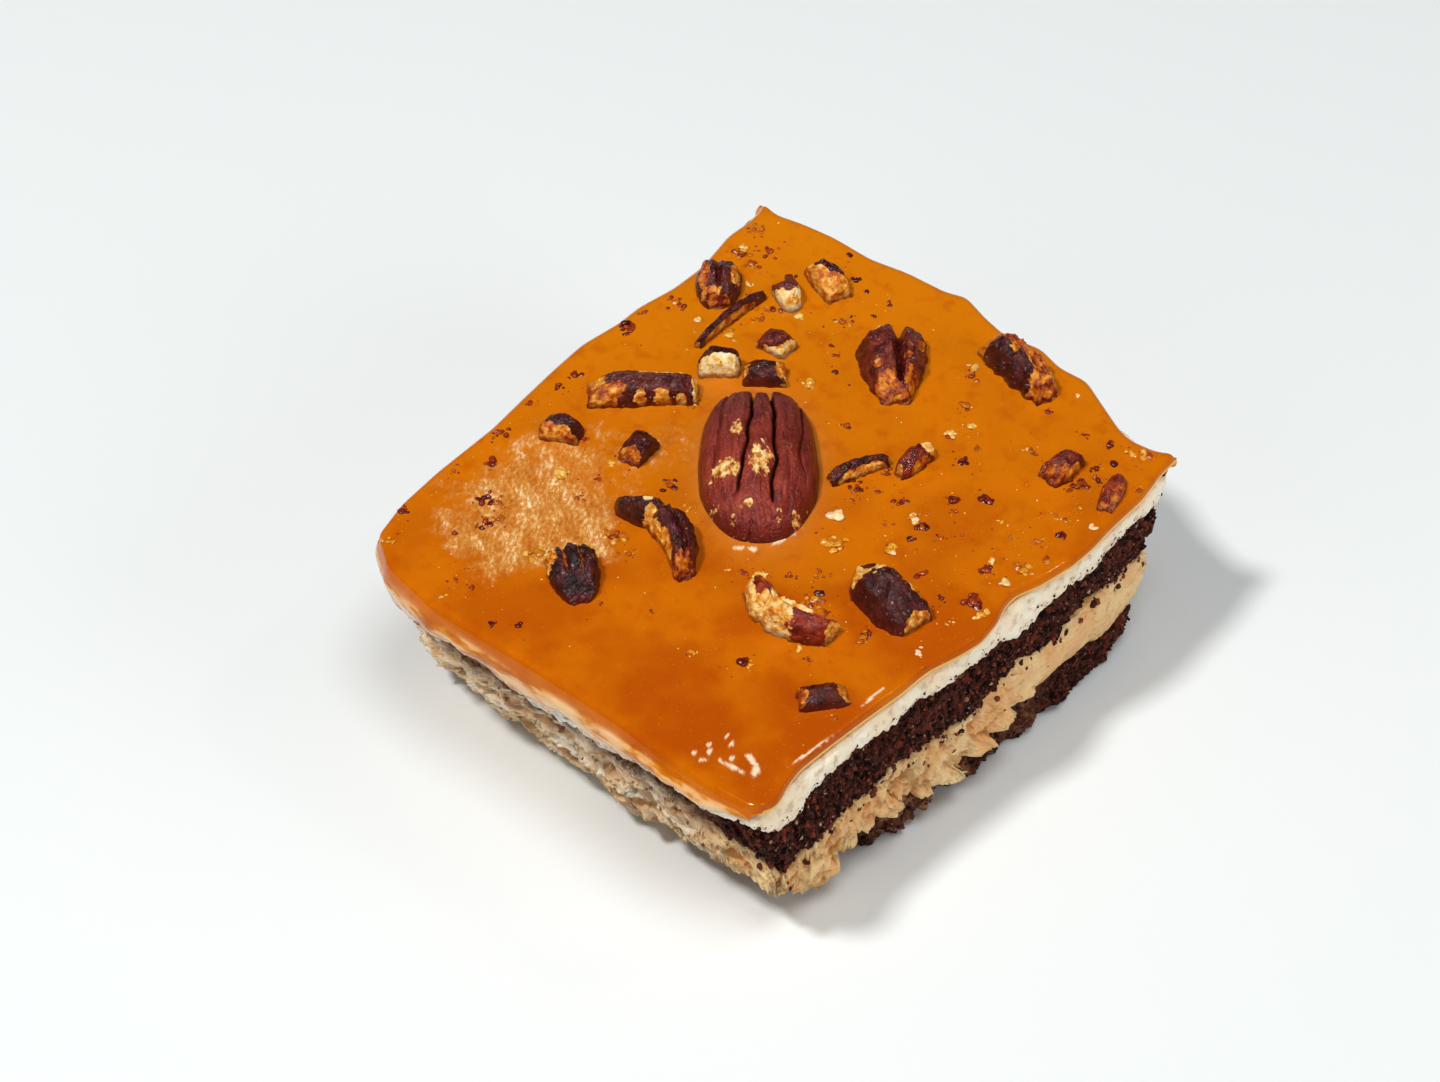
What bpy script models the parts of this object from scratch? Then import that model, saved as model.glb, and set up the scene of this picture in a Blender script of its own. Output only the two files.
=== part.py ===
# A square-cut piece of chocolate layer cake: two sponges, coffee cream between them, a thin white
# cream, and a thick caramel top with one pecan half and broken pecans.
# Metres, +Z up. The origin is the middle of the flat base that stands on the table.
# The neatly cut face looks along -Y, and the long side runs along X.

import math
import random
from collections import namedtuple

import bmesh
import bpy
from mathutils import Matrix, Vector, noise

MM = 0.001

# Heights of the level faces between the layers, from the table up
BASE_TOP = 7.5 * MM
CREAM_TOP = 15.2 * MM
SPONGE_TOP = 24.6 * MM
WHITE_TOP = 27.9 * MM
GLAZE_TOP = 31.0 * MM
GAP = 0.3 * MM

# The caramel's outline from above: each corner with the reach of its rounding, counter-clockwise
FRONT_LEFT = (-46.6 * MM, -41.0 * MM, 3.5 * MM)
FRONT_RIGHT = (42.8 * MM, -40.4 * MM, 4.0 * MM)
BACK_RIGHT = (44.2 * MM, 40.2 * MM, 4.0 * MM)
BACK_LEFT = (-48.8 * MM, 33.0 * MM, 10.0 * MM)
CORNERS = (FRONT_LEFT, FRONT_RIGHT, BACK_RIGHT, BACK_LEFT)
SIDE_BOWS = (0.3 * MM, 3.4 * MM, 0.4 * MM, 0.5 * MM)
SEGMENTS = 104

# The cut was slanted: the left and right faces run inwards towards the table
HALF_LENGTH = 46.0 * MM
HALF_WIDTH = 40.0 * MM
LEAN_LEFT = 9.6 * MM
LEAN_RIGHT = 9.0 * MM
LEVEL_RING = 8.0 * MM

COLLECTION = "pecan_cake"
BITS = "caramel_bits"

SPONGE_COLOUR = (0.030, 0.012, 0.008, 1.0)
COFFEE_COLOUR = (0.560, 0.340, 0.150, 1.0)
WHITE_COLOUR = (0.820, 0.780, 0.680, 1.0)
CARAMEL_COLOUR = (0.560, 0.170, 0.006, 1.0)
PECAN_COLOUR = (0.160, 0.030, 0.018, 1.0)


def clear_scene():
    for obj in list(bpy.data.objects):
        bpy.data.objects.remove(obj, do_unlink=True)


def new_collection(name):
    made = bpy.data.collections.new(name)
    bpy.context.scene.collection.children.link(made)
    return made


def material(name, colour, roughness):
    made = bpy.data.materials.new(name)
    made.use_nodes = True
    shader = made.node_tree.nodes["Principled BSDF"]
    shader.inputs["Base Color"].default_value = colour
    shader.inputs["Roughness"].default_value = roughness
    shader.inputs["Metallic"].default_value = 0.0
    return made


def object_from(bm, name, collection, finish):
    mesh = bpy.data.meshes.new(name)
    bm.to_mesh(mesh)
    bm.free()
    mesh.materials.append(finish)
    obj = bpy.data.objects.new(name, mesh)
    collection.objects.link(obj)
    return obj


# The outline


def side_points(start, end, bow):
    """Points along one side, bowed out at its middle."""
    count = 24
    along = end - start
    outward = Vector((along.y, -along.x)).normalized()
    shares = [step / count for step in range(1, count)]
    return [start + along * share + outward * bow * math.sin(math.pi * share) for share in shares]


def corner_points(before, corner, after):
    """A quadratic curve that rounds one corner, from before it to after it."""
    count = 8
    shares = [step / count for step in range(count + 1)]
    return [before * (1 - s) ** 2 + corner * 2 * s * (1 - s) + after * s * s for s in shares]


def even_steps(points, count):
    """The same closed line with points at even distances."""
    closed = points + points[:1]
    reached = [0.0]
    for first, second in zip(closed, closed[1:]):
        reached.append(reached[-1] + (second - first).length)
    found, place = [], 0
    for step in range(count):
        wanted = reached[-1] * step / count
        while reached[place + 1] < wanted:
            place += 1
        share = (wanted - reached[place]) / (reached[place + 1] - reached[place])
        found.append(closed[place].lerp(closed[place + 1], share))
    return found


def outline():
    """The caramel's outline as (point, outward normal) pairs."""
    spots = [Vector(corner[:2]) for corner in CORNERS]
    dense = []
    for place, (x, y, reach) in enumerate(CORNERS):
        corner = spots[place]
        last, following = spots[place - 1], spots[(place + 1) % 4]
        next_reach = CORNERS[(place + 1) % 4][2]
        before = corner + (last - corner).normalized() * reach
        after = corner + (following - corner).normalized() * reach
        side_end = following + (corner - following).normalized() * next_reach
        dense += corner_points(before, corner, after)
        dense += side_points(after, side_end, SIDE_BOWS[place])
    points = even_steps(dense, SEGMENTS)
    pairs = []
    for place, point in enumerate(points):
        along = points[(place + 1) % SEGMENTS] - points[place - 1]
        pairs.append((point, Vector((along.y, -along.x)).normalized()))
    return pairs


def plan_spot(point, depth, height):
    """A point of the outline after the slanted cut at this height, drawn in by depth."""
    lean = (LEAN_LEFT if point.x < 0 else LEAN_RIGHT) * max(0.0, 1.0 - height / WHITE_TOP)
    x = point.x * (1 - (lean + depth) / HALF_LENGTH)
    return Vector((x, point.y * (1 - depth / HALF_WIDTH)))


# The faces between the layers


def ripple(point, wavelength, place):
    return noise.noise(Vector((point.x / wavelength, point.y / wavelength, place)))


def smooth_share(value):
    """An even rise from 0 to 1 as the value goes from 0 to 1."""
    return 0.5 - 0.5 * math.cos(math.pi * min(1.0, max(0.0, value)))


def smeared_share(point):
    """1 along the left face, falling to 0 at 22 mm from it along the front and the back."""
    return smooth_share(1.0 - (point.x - FRONT_LEFT[0]) / (22 * MM))


def left_share(point, normal):
    """1 on the left face, fading out near the front left corner."""
    return max(0.0, -normal.x) * smooth_share((point.y - FRONT_LEFT[1]) / (18 * MM))


def base_face(point, normal):
    """The coffee cream sags over the lower sponge on the left and at the front left corner."""
    return (-4.2 * smeared_share(point) + 0.9 * ripple(point, 13 * MM, 1.0)) * MM


def cream_face(point, normal):
    """On the left face the knife dragged the coffee cream up over the upper sponge."""
    return (2.2 * left_share(point, normal) + 1.2 * ripple(point, 11 * MM, 2.0)) * MM


def drape_share(point, normal):
    """How far the caramel has run down: most at the back end of the left face."""
    back = smooth_share((point.y - FRONT_LEFT[1]) / (60 * MM))
    return left_share(point, normal) * (0.35 + 0.65 * back)


def sponge_face(point, normal):
    return (-1.6 * drape_share(point, normal) + 0.8 * ripple(point, 10 * MM, 3.0)) * MM


def white_face(point, normal):
    """The caramel runs down over the white cream on the left face."""
    return (-3.4 * drape_share(point, normal) + 0.5 * ripple(point, 14 * MM, 4.0)) * MM


FACES = {
    BASE_TOP: base_face,
    CREAM_TOP: cream_face,
    SPONGE_TOP: sponge_face,
    WHITE_TOP: white_face,
}


def edge_height(level, point, normal, depth):
    """Height of the face at that level: uneven at the outside, flat from LEVEL_RING inwards."""
    if level not in FACES:
        return level
    return level + FACES[level](point, normal) * (1 - depth / LEVEL_RING)


# How far each layer's side stands in from the outline, in the order of the layers


def notch(point, centre, half_width, depth):
    """A torn-out hollow in the front face."""
    if point.y > 0:
        return 0.0
    return depth * math.exp(-(((point.x - centre) / half_width) ** 2))


def base_step(point, normal):
    return (0.6 + 3.0 * smeared_share(point)) * MM - notch(point, -17 * MM, 5 * MM, 1.4 * MM)


def cream_step(point, normal):
    torn = notch(point, -20 * MM, 4.5 * MM, 4.2 * MM)
    swell = notch(point, -8 * MM, 6 * MM, 1.3 * MM) + notch(point, -36 * MM, 7 * MM, 1.2 * MM)
    return 0.4 * MM + torn - swell


def sponge_step(point, normal):
    return (0.3 + 0.4 * left_share(point, normal)) * MM


def white_step(point, normal):
    return 0.1 * MM


def caramel_step(point, normal):
    front = max(0.0, -normal.y)
    return (1.3 * front - 0.4 * max(0.0, -normal.x)) * MM


def relief(point, height, rough):
    spot = Vector((point.x, point.y, height)) / rough.wavelength
    return rough.size * noise.noise(spot + Vector((0, 0, rough.place)))


# size and wavelength of a side's relief, the reach of its unevenness from point to point, and
# its place in the noise
Rough = namedtuple("Rough", "size wavelength jitter place")


def layer(name, bottom, top, step, section, rough, collection, finish):
    """One layer as a solid: a cylinder primitive whose rings are set along the layer's section.

    section holds (share of the height, extra inset) for each ring of the side, bottom to top.
    """
    pairs = outline()
    rings = len(section) + 2
    low = bottom + (GAP if bottom > 0 else 0)
    bm = bmesh.new()
    bmesh.ops.create_cone(
        bm, cap_ends=True, segments=SEGMENTS, radius1=1.0, radius2=1.0, depth=float(rings - 1)
    )
    upright = [e for e in bm.edges if abs(e.verts[0].co.z - e.verts[1].co.z) > 0.5]
    bmesh.ops.subdivide_edges(bm, edges=upright, cuts=rings - 2, use_grid_fill=True)
    draw = random.Random(name)
    for vert in sorted(bm.verts, key=lambda v: (round(v.co.z, 3), math.atan2(v.co.y, v.co.x))):
        ring = round(vert.co.z + (rings - 1) / 2)
        turn = math.atan2(vert.co.y, vert.co.x) / (2 * math.pi)
        point, normal = pairs[round(turn * SEGMENTS) % SEGMENTS]
        if ring in (0, rings - 1):
            level, height = (bottom, low) if ring == 0 else (top, top)
            spot = plan_spot(point, LEVEL_RING, level)
        else:
            share, inset = section[ring - 1]
            inside = step(point, normal) + inset + draw.uniform(-rough.jitter, rough.jitter)
            inside += relief(point, share * (top - bottom), rough)
            gap = (low - bottom) * (2 - inside / LEVEL_RING)
            from_below = edge_height(bottom, point, normal, inside) + gap
            from_above = edge_height(top, point, normal, inside)
            height = from_below + (from_above - from_below) * share
            spot = plan_spot(point, inside, height - gap * (1 - share))
        vert.co = (spot.x, spot.y, height)
    return object_from(bm, name, collection, finish)


def build_layers(collection):
    sponge = material("chocolate sponge", SPONGE_COLOUR, 0.9)
    coffee = material("coffee cream", COFFEE_COLOUR, 0.55)
    white = material("white cream", WHITE_COLOUR, 0.5)
    caramel = material("caramel", CARAMEL_COLOUR, 0.15)
    craggy = ((0.0, 0.9 * MM), (0.2, 0.0), (0.5, -0.5 * MM), (0.8, 0.1 * MM), (1.0, 0.5 * MM))
    swelling = ((0.0, 1.0 * MM), (0.25, -0.3 * MM), (0.6, -0.7 * MM), (1.0, 0.6 * MM))
    thin = ((0.0, 0.5 * MM), (0.5, -0.2 * MM), (1.0, 0.4 * MM))
    rolled = (
        (0.0, 0.4 * MM), (0.35, -0.2 * MM), (0.7, 0.2 * MM), (0.92, 1.0 * MM), (1.0, 2.4 * MM)
    )
    lower_crumb = Rough(0.9 * MM, 7 * MM, 0.4 * MM, 11)
    upper_crumb = Rough(0.9 * MM, 7 * MM, 0.4 * MM, 23)
    torn = Rough(1.0 * MM, 8 * MM, 0.25 * MM, 37)
    smooth = Rough(0.3 * MM, 12 * MM, 0.0, 41)
    layer("lower_sponge", 0.0, BASE_TOP, base_step, craggy, lower_crumb, collection, sponge)
    layer("coffee_cream", BASE_TOP, CREAM_TOP, cream_step, swelling, torn, collection, coffee)
    layer("upper_sponge", CREAM_TOP, SPONGE_TOP, sponge_step, craggy, upper_crumb, collection, sponge)
    layer("white_cream", SPONGE_TOP, WHITE_TOP, white_step, thin, smooth, collection, white)
    return layer(
        "caramel", WHITE_TOP, GLAZE_TOP, caramel_step, rolled, smooth, collection, caramel
    )


# The pecans


def cut_off(bm, spot, outward):
    """Cuts a closed mesh by a plane, drops what lies outwards and closes the cut."""
    everything = bm.verts[:] + bm.edges[:] + bm.faces[:]
    made = bmesh.ops.bisect_plane(
        bm, geom=everything, plane_co=spot, plane_no=outward, clear_outer=True
    )
    rim = [e for e in made["geom_cut"] if isinstance(e, bmesh.types.BMEdge)]
    bmesh.ops.edgeloop_fill(bm, edges=rim)


def groove(across, along, centre, half_width, start, end):
    """1 in the middle of a lengthwise groove, and 0 beside it or past its ends."""
    fade = 0.15
    begins = min(1.0, max(0.0, (along - start) / fade))
    ends = min(1.0, max(0.0, (end - along) / fade))
    return begins * ends * math.exp(-(((across - centre) / half_width) ** 2))


def half_grooves(across, along):
    """Depth share of the half's grooves at a spot, both from -1 to 1.

    along runs to the far tip, and across from left to right as it is seen from the near end.
    """
    drift = -0.16 + 0.10 * along - 0.16 * max(0.0, -along)
    left = groove(across, along, drift, 0.085, -0.60, 1.2)
    right = groove(across, along, 0.29 + 0.06 * min(0.0, along), 0.085, -0.45, 1.2)
    near = 0.8 * groove(across, along, -0.11, 0.06, -1.2, -0.48)
    outer_left = 0.35 * groove(across, along, -0.58, 0.07, 0.0, 0.95)
    outer_right = 0.45 * groove(across, along, 0.70, 0.07, 0.1, 0.95)
    return max(left, right, near, outer_left, outer_right)


def lengthwise_sphere(bm, around, rings):
    """A unit sphere with its poles at both ends of X."""
    bmesh.ops.create_uvsphere(bm, u_segments=around, v_segments=rings, radius=1.0)
    bmesh.ops.rotate(bm, verts=bm.verts, cent=(0, 0, 0), matrix=Matrix.Rotation(math.pi / 2, 3, "Y"))


def blunt(along, across, power):
    """How far to push a spot of the unit circle out to make the outline a blunt oval."""
    reach = math.hypot(along, across)
    if reach < 0.001:
        return 1.0
    along, across = abs(along) / reach, abs(across) / reach
    return (along ** power + across ** power) ** (-1 / power)


# A piece of pecan on the caramel. Lengths are in millimetres and turn in degrees, bend is how far
# the middle bows to the left of its direction, taper is how much wider its far end is, and
# grooves are the places of its lengthwise grooves, from -1 to 1 across it.
Piece = namedtuple("Piece", "name x y length width height turn bend taper grooves")
HALF = Piece("pecan_half", 0.6, 1.0, 30.0, 17.0, 7.2, 44.2, 0.0, 0.0, ())


def place(piece, bm, collection, finish):
    """Stands a piece, whose mesh is level underneath, on the caramel at its own spot."""
    made = object_from(bm, piece.name, collection, finish)
    made.location = (piece.x * MM, piece.y * MM, GLAZE_TOP + GAP)
    made.rotation_euler = (0, 0, math.radians(piece.turn))


def pecan_half(collection, finish):
    groove_depth = 3.2 * MM
    buried = 0.8 * MM
    bm = bmesh.new()
    lengthwise_sphere(bm, around=64, rings=21)
    for vert in bm.verts:
        along, left, up = vert.co
        out = blunt(along, left, 2.5)
        narrow = 1.0 - 0.10 * max(0.0, along)
        cleft = half_grooves(-left, along)
        shorter = 1.0 - 0.10 * cleft * max(0.0, along) ** 4
        vert.co = (
            along * out * shorter * HALF.length * 0.5 * MM,
            left * out * narrow * HALF.width * 0.5 * MM,
            up * HALF.height * MM - cleft * groove_depth * max(0.0, up) ** 0.5,
        )
    cut_off(bm, (0, 0, buried), (0, 0, -1))
    bmesh.ops.translate(bm, verts=bm.verts, vec=(0, 0, -buried))
    place(HALF, bm, collection, finish)


# The broken pieces, with their values in Piece's order
BROKEN = (
    Piece("piece_long", 0.4, 22.6, 16.4, 6.2, 4.4, -46, 0.8, -0.12, (0.35,)),
    Piece("piece_crescent", -19.4, 1.2, 14.6, 5.2, 4.8, 77, -2.4, 0.0, (0.1,)),
    Piece("piece_dark", -31.6, 5.0, 9.0, 7.4, 4.6, 55, 0.0, 0.15, (-0.35, 0.3)),
    Piece("piece_curl", -17.0, -21.4, 14.2, 5.4, 4.6, -88, -2.0, 0.0, (0.3,)),
    Piece("piece_broad", -6.6, -29.6, 11.6, 7.8, 5.2, 82, 0.3, -0.1, (-0.1,)),
    Piece("piece_forked", 28.4, 1.0, 14.0, 9.4, 5.0, 46, 0.0, 0.38, (-0.18,)),
    Piece("piece_edge", 39.8, -12.8, 12.8, 6.6, 5.6, 79, -0.6, 0.0, (-0.3,)),
    Piece("piece_back", 24.2, 31.2, 8.0, 6.8, 4.2, 44, 0.0, 0.1, (0.0,)),
    Piece("piece_bark", 20.0, 24.7, 14.2, 1.8, 2.4, 2, 0.3, 0.0, ()),
    Piece("piece_pale", 11.6, 18.8, 5.4, 4.4, 3.6, -46, 0.3, 0.0, ()),
    Piece("piece_stub", 14.8, 12.8, 5.8, 4.4, 3.4, -50, 0.2, 0.0, ()),
    Piece("piece_block", 20.6, 16.2, 4.6, 4.0, 3.0, -80, 0.0, 0.0, ()),
    Piece("piece_cream", 29.4, 22.2, 4.8, 3.9, 3.4, 60, 0.0, 0.2, ()),
    Piece("piece_shell", 35.6, 20.0, 7.4, 4.8, 3.2, 72, 0.0, 0.0, ()),
    Piece("piece_wedge", 29.0, -30.2, 6.4, 4.4, 3.0, -5, 0.0, -0.2, ()),
    Piece("piece_pane", 29.6, -38.4, 6.6, 3.2, 2.2, 21, 0.0, 0.0, ()),
    Piece("piece_blade", 9.4, -9.8, 8.8, 3.0, 2.4, -21, 0.3, -0.1, ()),
    Piece("piece_tip", 16.2, -14.4, 6.4, 3.6, 2.8, 0, 0.2, 0.0, ()),
    Piece("piece_bar", -25.8, -35.2, 6.6, 3.6, 3.2, -37, 0.0, 0.0, ()),
    Piece("piece_shard", -8.4, 15.4, 4.6, 4.0, 3.2, 10, 0.0, 0.0, ()),
    Piece("piece_knob", -13.4, 26.0, 5.6, 4.0, 3.2, -60, 0.2, 0.0, ()),
)
LARGE = 7.5


def broken_piece(piece, collection, finish):
    """A grooved lump, broken off at both ends and level underneath."""
    around, rings = (20, 10) if piece.length > LARGE else (12, 7)
    bm = bmesh.new()
    lengthwise_sphere(bm, around, rings)
    draw = random.Random(piece.name)
    for vert in bm.verts:
        along, across, up = vert.co
        cleft = sum(math.exp(-(((across - spot) / 0.16) ** 2)) for spot in piece.grooves)
        knobbly = 1.0 + draw.uniform(-0.07, 0.07)
        spread = piece.width * 0.5 * (1 + piece.taper * along)
        vert.co = (
            along * piece.length * 0.66 * MM,
            (across * spread + piece.bend * (1 - 2 * along * along)) * knobbly * MM,
            up * piece.height * (1 - 0.42 * cleft * max(0.0, up)) * knobbly * MM,
        )
    for side in (-1, 1):
        slope = Vector((side, draw.uniform(-0.35, 0.35), draw.uniform(-0.1, 0.45))).normalized()
        cut_off(bm, (side * piece.length * 0.5 * MM, 0, 0), slope)
    cut_off(bm, (0, 0, 0), (0, 0, -1))
    place(piece, bm, collection, finish)


# The bits that stick to the caramel

# Bits large enough to have a place of their own: x, y, length and width in millimetres
PLACED_BITS = (
    (0.2, -14.3, 4.4, 2.6), (-3.9, -17.4, 4.2, 3.0), (0.4, -23.8, 3.4, 2.6), (6.8, -23.9, 4.0, 2.6),
    (0.6, -38.2, 3.8, 3.2), (10.4, -37.6, 4.6, 3.2), (-28.0, -23.4, 2.6, 2.2), (-13.2, -27.0, 3.0, 2.2),
    (-34.5, 20.5, 3.6, 2.2), (-31.5, 17.0, 3.0, 2.4), (-24.0, 13.5, 2.6, 2.0), (-11.0, 33.0, 2.6, 2.0),
    (12.0, 34.5, 3.4, 2.4), (17.5, 34.0, 3.2, 2.4), (34.5, 31.5, 3.4, 2.6), (37.0, 35.6, 3.0, 2.2),
    (24.0, -5.5, 2.6, 2.0), (21.0, -33.0, 2.8, 2.0), (34.0, -31.5, 2.6, 2.0), (42.0, -21.0, 3.0, 2.4),
)
SCATTERED_BITS = 60


def clear_of_pieces(x, y, reach):
    """True if a bit of that reach, in millimetres, lies clear of the half and of every piece."""
    for piece in (HALF, *BROKEN):
        turn = math.radians(piece.turn)
        along = (x - piece.x) * math.cos(turn) + (y - piece.y) * math.sin(turn)
        across = (y - piece.y) * math.cos(turn) - (x - piece.x) * math.sin(turn)
        far_along = piece.length * 0.6 + reach + 0.8
        far_across = piece.width * 0.6 + abs(piece.bend) + reach + 0.8
        if abs(along) < far_along and abs(across) < far_across:
            return False
    return True


def bit(x, y, length, width, draw, collection, finish):
    bm = bmesh.new()
    bmesh.ops.create_icosphere(bm, subdivisions=1, radius=0.5)
    for vert in bm.verts:
        vert.co *= draw.uniform(0.8, 1.15)
    bmesh.ops.scale(bm, verts=bm.verts, vec=(length * MM, width * MM, width * 0.8 * MM))
    piece = object_from(bm, "bit", collection, finish)
    piece.location = (x * MM, y * MM, GLAZE_TOP + 0.12 * width * MM)
    piece.rotation_euler = (0, 0, draw.uniform(0, math.pi))


def fuse_bits(caramel):
    """Joins the bits to the caramel as one solid."""
    bits = new_collection(BITS)
    finish = caramel.data.materials[0]
    draw = random.Random(7)
    for x, y, length, width in PLACED_BITS:
        if clear_of_pieces(x, y, length / 2):
            bit(x, y, length, width, draw, bits, finish)
    made = 0
    taken = [(x, y, length / 2) for x, y, length, width in PLACED_BITS]
    while made < SCATTERED_BITS:
        x, y = draw.triangular(-40, 40, 24), draw.uniform(-35, 33)
        length = draw.uniform(1.0, 2.2)
        free = all(math.hypot(x - tx, y - ty) > r + length / 2 + 0.4 for tx, ty, r in taken)
        if free and clear_of_pieces(x, y, length / 2):
            bit(x, y, length, length * draw.uniform(0.6, 0.9), draw, bits, finish)
            taken.append((x, y, length / 2))
            made += 1
    join = caramel.modifiers.new("bits", "BOOLEAN")
    join.operation = "UNION"
    join.operand_type = "COLLECTION"
    join.collection = bits
    join.solver = "EXACT"
    bpy.context.view_layer.update()
    bpy.context.view_layer.objects.active = caramel
    caramel.select_set(True)
    bpy.ops.object.modifier_apply(modifier=join.name)
    for obj in list(bits.objects):
        bpy.data.objects.remove(obj, do_unlink=True)
    bpy.data.collections.remove(bits)


def main():
    clear_scene()
    collection = new_collection(COLLECTION)
    caramel = build_layers(collection)
    pecan = material("pecan skin", PECAN_COLOUR, 0.45)
    pecan_half(collection, pecan)
    for piece in BROKEN:
        broken_piece(piece, collection, pecan)
    fuse_bits(caramel)


main()
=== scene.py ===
# Looks of a square-cut piece of pecan caramel cake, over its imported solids.
import math
import random

import bpy
from mathutils import Matrix, Vector, noise


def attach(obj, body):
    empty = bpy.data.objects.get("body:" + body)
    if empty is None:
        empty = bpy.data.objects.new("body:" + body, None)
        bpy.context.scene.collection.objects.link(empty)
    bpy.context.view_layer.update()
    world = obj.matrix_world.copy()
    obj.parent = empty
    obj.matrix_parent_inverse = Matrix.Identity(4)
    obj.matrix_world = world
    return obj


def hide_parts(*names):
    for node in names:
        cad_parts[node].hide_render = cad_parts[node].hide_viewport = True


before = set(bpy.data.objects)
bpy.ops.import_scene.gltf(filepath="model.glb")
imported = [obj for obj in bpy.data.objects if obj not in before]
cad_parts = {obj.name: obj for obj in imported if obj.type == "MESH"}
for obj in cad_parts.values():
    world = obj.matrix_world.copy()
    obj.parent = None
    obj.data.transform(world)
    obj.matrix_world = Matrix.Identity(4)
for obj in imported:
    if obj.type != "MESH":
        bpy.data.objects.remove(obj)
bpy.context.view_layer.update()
mm = 0.001
print("loaded the cake's solids:", len(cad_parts))


# small helpers, used by every piece

def startPiece(name, adder, **settings):  # adds a primitive with nothing else selected
    bpy.ops.object.select_all(action="DESELECT")
    adder(**settings)
    bpy.context.object.name = name
    return bpy.context.object


def pickFaces(piece, wanted):  # selects faces by a rule, and stays in edit mode
    bpy.ops.object.mode_set(mode="EDIT")
    bpy.ops.mesh.select_mode(type="FACE")
    bpy.ops.mesh.select_all(action="DESELECT")
    bpy.ops.object.mode_set(mode="OBJECT")
    for face in piece.data.polygons:
        face.select = wanted(face)
    bpy.ops.object.mode_set(mode="EDIT")


def pickEdges(piece, wanted):  # the same for edges, by their two ends
    bpy.ops.object.mode_set(mode="EDIT")
    bpy.ops.mesh.select_mode(type="EDGE")
    bpy.ops.mesh.select_all(action="DESELECT")
    bpy.ops.object.mode_set(mode="OBJECT")
    spots = [vertex.co for vertex in piece.data.vertices]
    for edge in piece.data.edges:
        first, second = edge.vertices
        edge.select = wanted(spots[first], spots[second])
    bpy.ops.object.mode_set(mode="EDIT")


def paintPoints(piece, name, values):  # one number for each point, for the material
    layer = piece.data.attributes.new(name, "FLOAT", "POINT")
    layer.data.foreach_set("value", values)


def paintBy(piece, name, rule):  # the same by a rule of the point's place in mm
    paintPoints(piece, name, [rule(*(vertex.co / mm)) for vertex in piece.data.vertices])


def finishPiece(piece, finish, slot, *nodes):
    bpy.ops.object.mode_set(mode="OBJECT")
    piece.data.materials.clear()
    piece.data.materials.append(finish)
    for face in piece.data.polygons:
        face.use_smooth = True
    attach(piece, "root")
    if nodes:
        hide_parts(*nodes)
    print("made", piece.name, "with", len(piece.data.polygons), "faces")


def ease(value):  # 0 to 1 with soft ends
    value = min(1.0, max(0.0, value))
    return value * value * (3 - 2 * value)


def along(table, place):  # reads a table of (place, value) pairs between its lines
    if place <= table[0][0]:
        return table[0][1]
    for (before, first), (after, second) in zip(table, table[1:]):
        if place <= after:
            return first + (second - first) * ease((place - before) / (after - before))
    return table[-1][1]


def ripple(x, y, z, size, octaves=3):  # smooth noise of about -1 to 1, size in mm
    return noise.fractal(Vector((x / size, y / size, z / size)), 0.7, 2.1, octaves)


def crests(x, y, z, octaves=3, gap=2.1, rough=1.0):  # sharp ridges about 1 apart, of 0 to about 2
    return noise.ridged_multi_fractal(Vector((x, y, z)), rough, gap, octaves, 1.0, 2.0)


def fromGrain(x, y, z, size):  # how far a point is from the middle of its grain, size in mm
    return noise.voronoi(Vector((x, y, z)) / size)[0][0]


def mixed(first, second, share):
    return first * (1 - share) + second * share


def pointing(angle, slope):  # the direction at an angle from X and a slope up, in degrees
    angle, slope = math.radians(angle), math.radians(slope)
    return Vector((math.cos(angle) * math.cos(slope), math.sin(angle) * math.cos(slope), math.sin(slope)))


def turnedTo(x, y, middleX, middleY, turn):  # a place along and across a line turned about its middle
    turn, x, y = math.radians(turn), x - middleX, y - middleY
    return x * math.cos(turn) + y * math.sin(turn), y * math.cos(turn) - x * math.sin(turn)


# material helpers

def shade(red, green, blue):  # a colour as the photograph shows it, 0 to 255
    return tuple(((c / 255 + 0.055) / 1.055) ** 2.4 if c > 10 else c / 255 / 12.92
                 for c in (red, green, blue)) + (1.0,)


def newFinish(name, **numbers):
    finish = bpy.data.materials.new(name)
    finish.use_nodes = True
    shader = finish.node_tree.nodes["Principled BSDF"]
    for key, value in numbers.items():
        shader.inputs[key.replace("_", " ")].default_value = value
    return finish, shader


def addNode(finish, kind, inputs, **settings):  # inputs take a number, a colour or a socket
    node = finish.node_tree.nodes.new(kind)
    for key, value in settings.items():
        setattr(node, key, value)
    for key, value in inputs.items():
        if isinstance(value, bpy.types.NodeSocket):
            finish.node_tree.links.new(value, node.inputs[key])
        else:
            node.inputs[key].default_value = value
    return node


def placeOf(finish):  # where a point is on the cake, in metres
    place = finish.node_tree.nodes.get("Texture Coordinate")
    place = place or finish.node_tree.nodes.new("ShaderNodeTexCoord")
    return place.outputs["Object"]


def axesOf(finish):
    return addNode(finish, "ShaderNodeSeparateXYZ", {"Vector": placeOf(finish)}).outputs


def grain(finish, size, low=0.0, high=1.0, detail=3.0, stretch=(1, 1, 1), rough=0.55, turn=0.0):
    # noise with blotches of this size in mm, stretched to 0 and 1 between low and high
    scaled = addNode(finish, "ShaderNodeMapping", {
        "Vector": placeOf(finish), "Rotation": (0, 0, math.radians(turn)),
        "Scale": [1 / share for share in stretch]}, vector_type="TEXTURE")
    cloud = addNode(finish, "ShaderNodeTexNoise", {
        "Vector": scaled.outputs[0], "Scale": 1000 / size, "Detail": detail, "Roughness": rough})
    return rangeOf(finish, cloud.outputs["Fac"], low, high)


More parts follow.
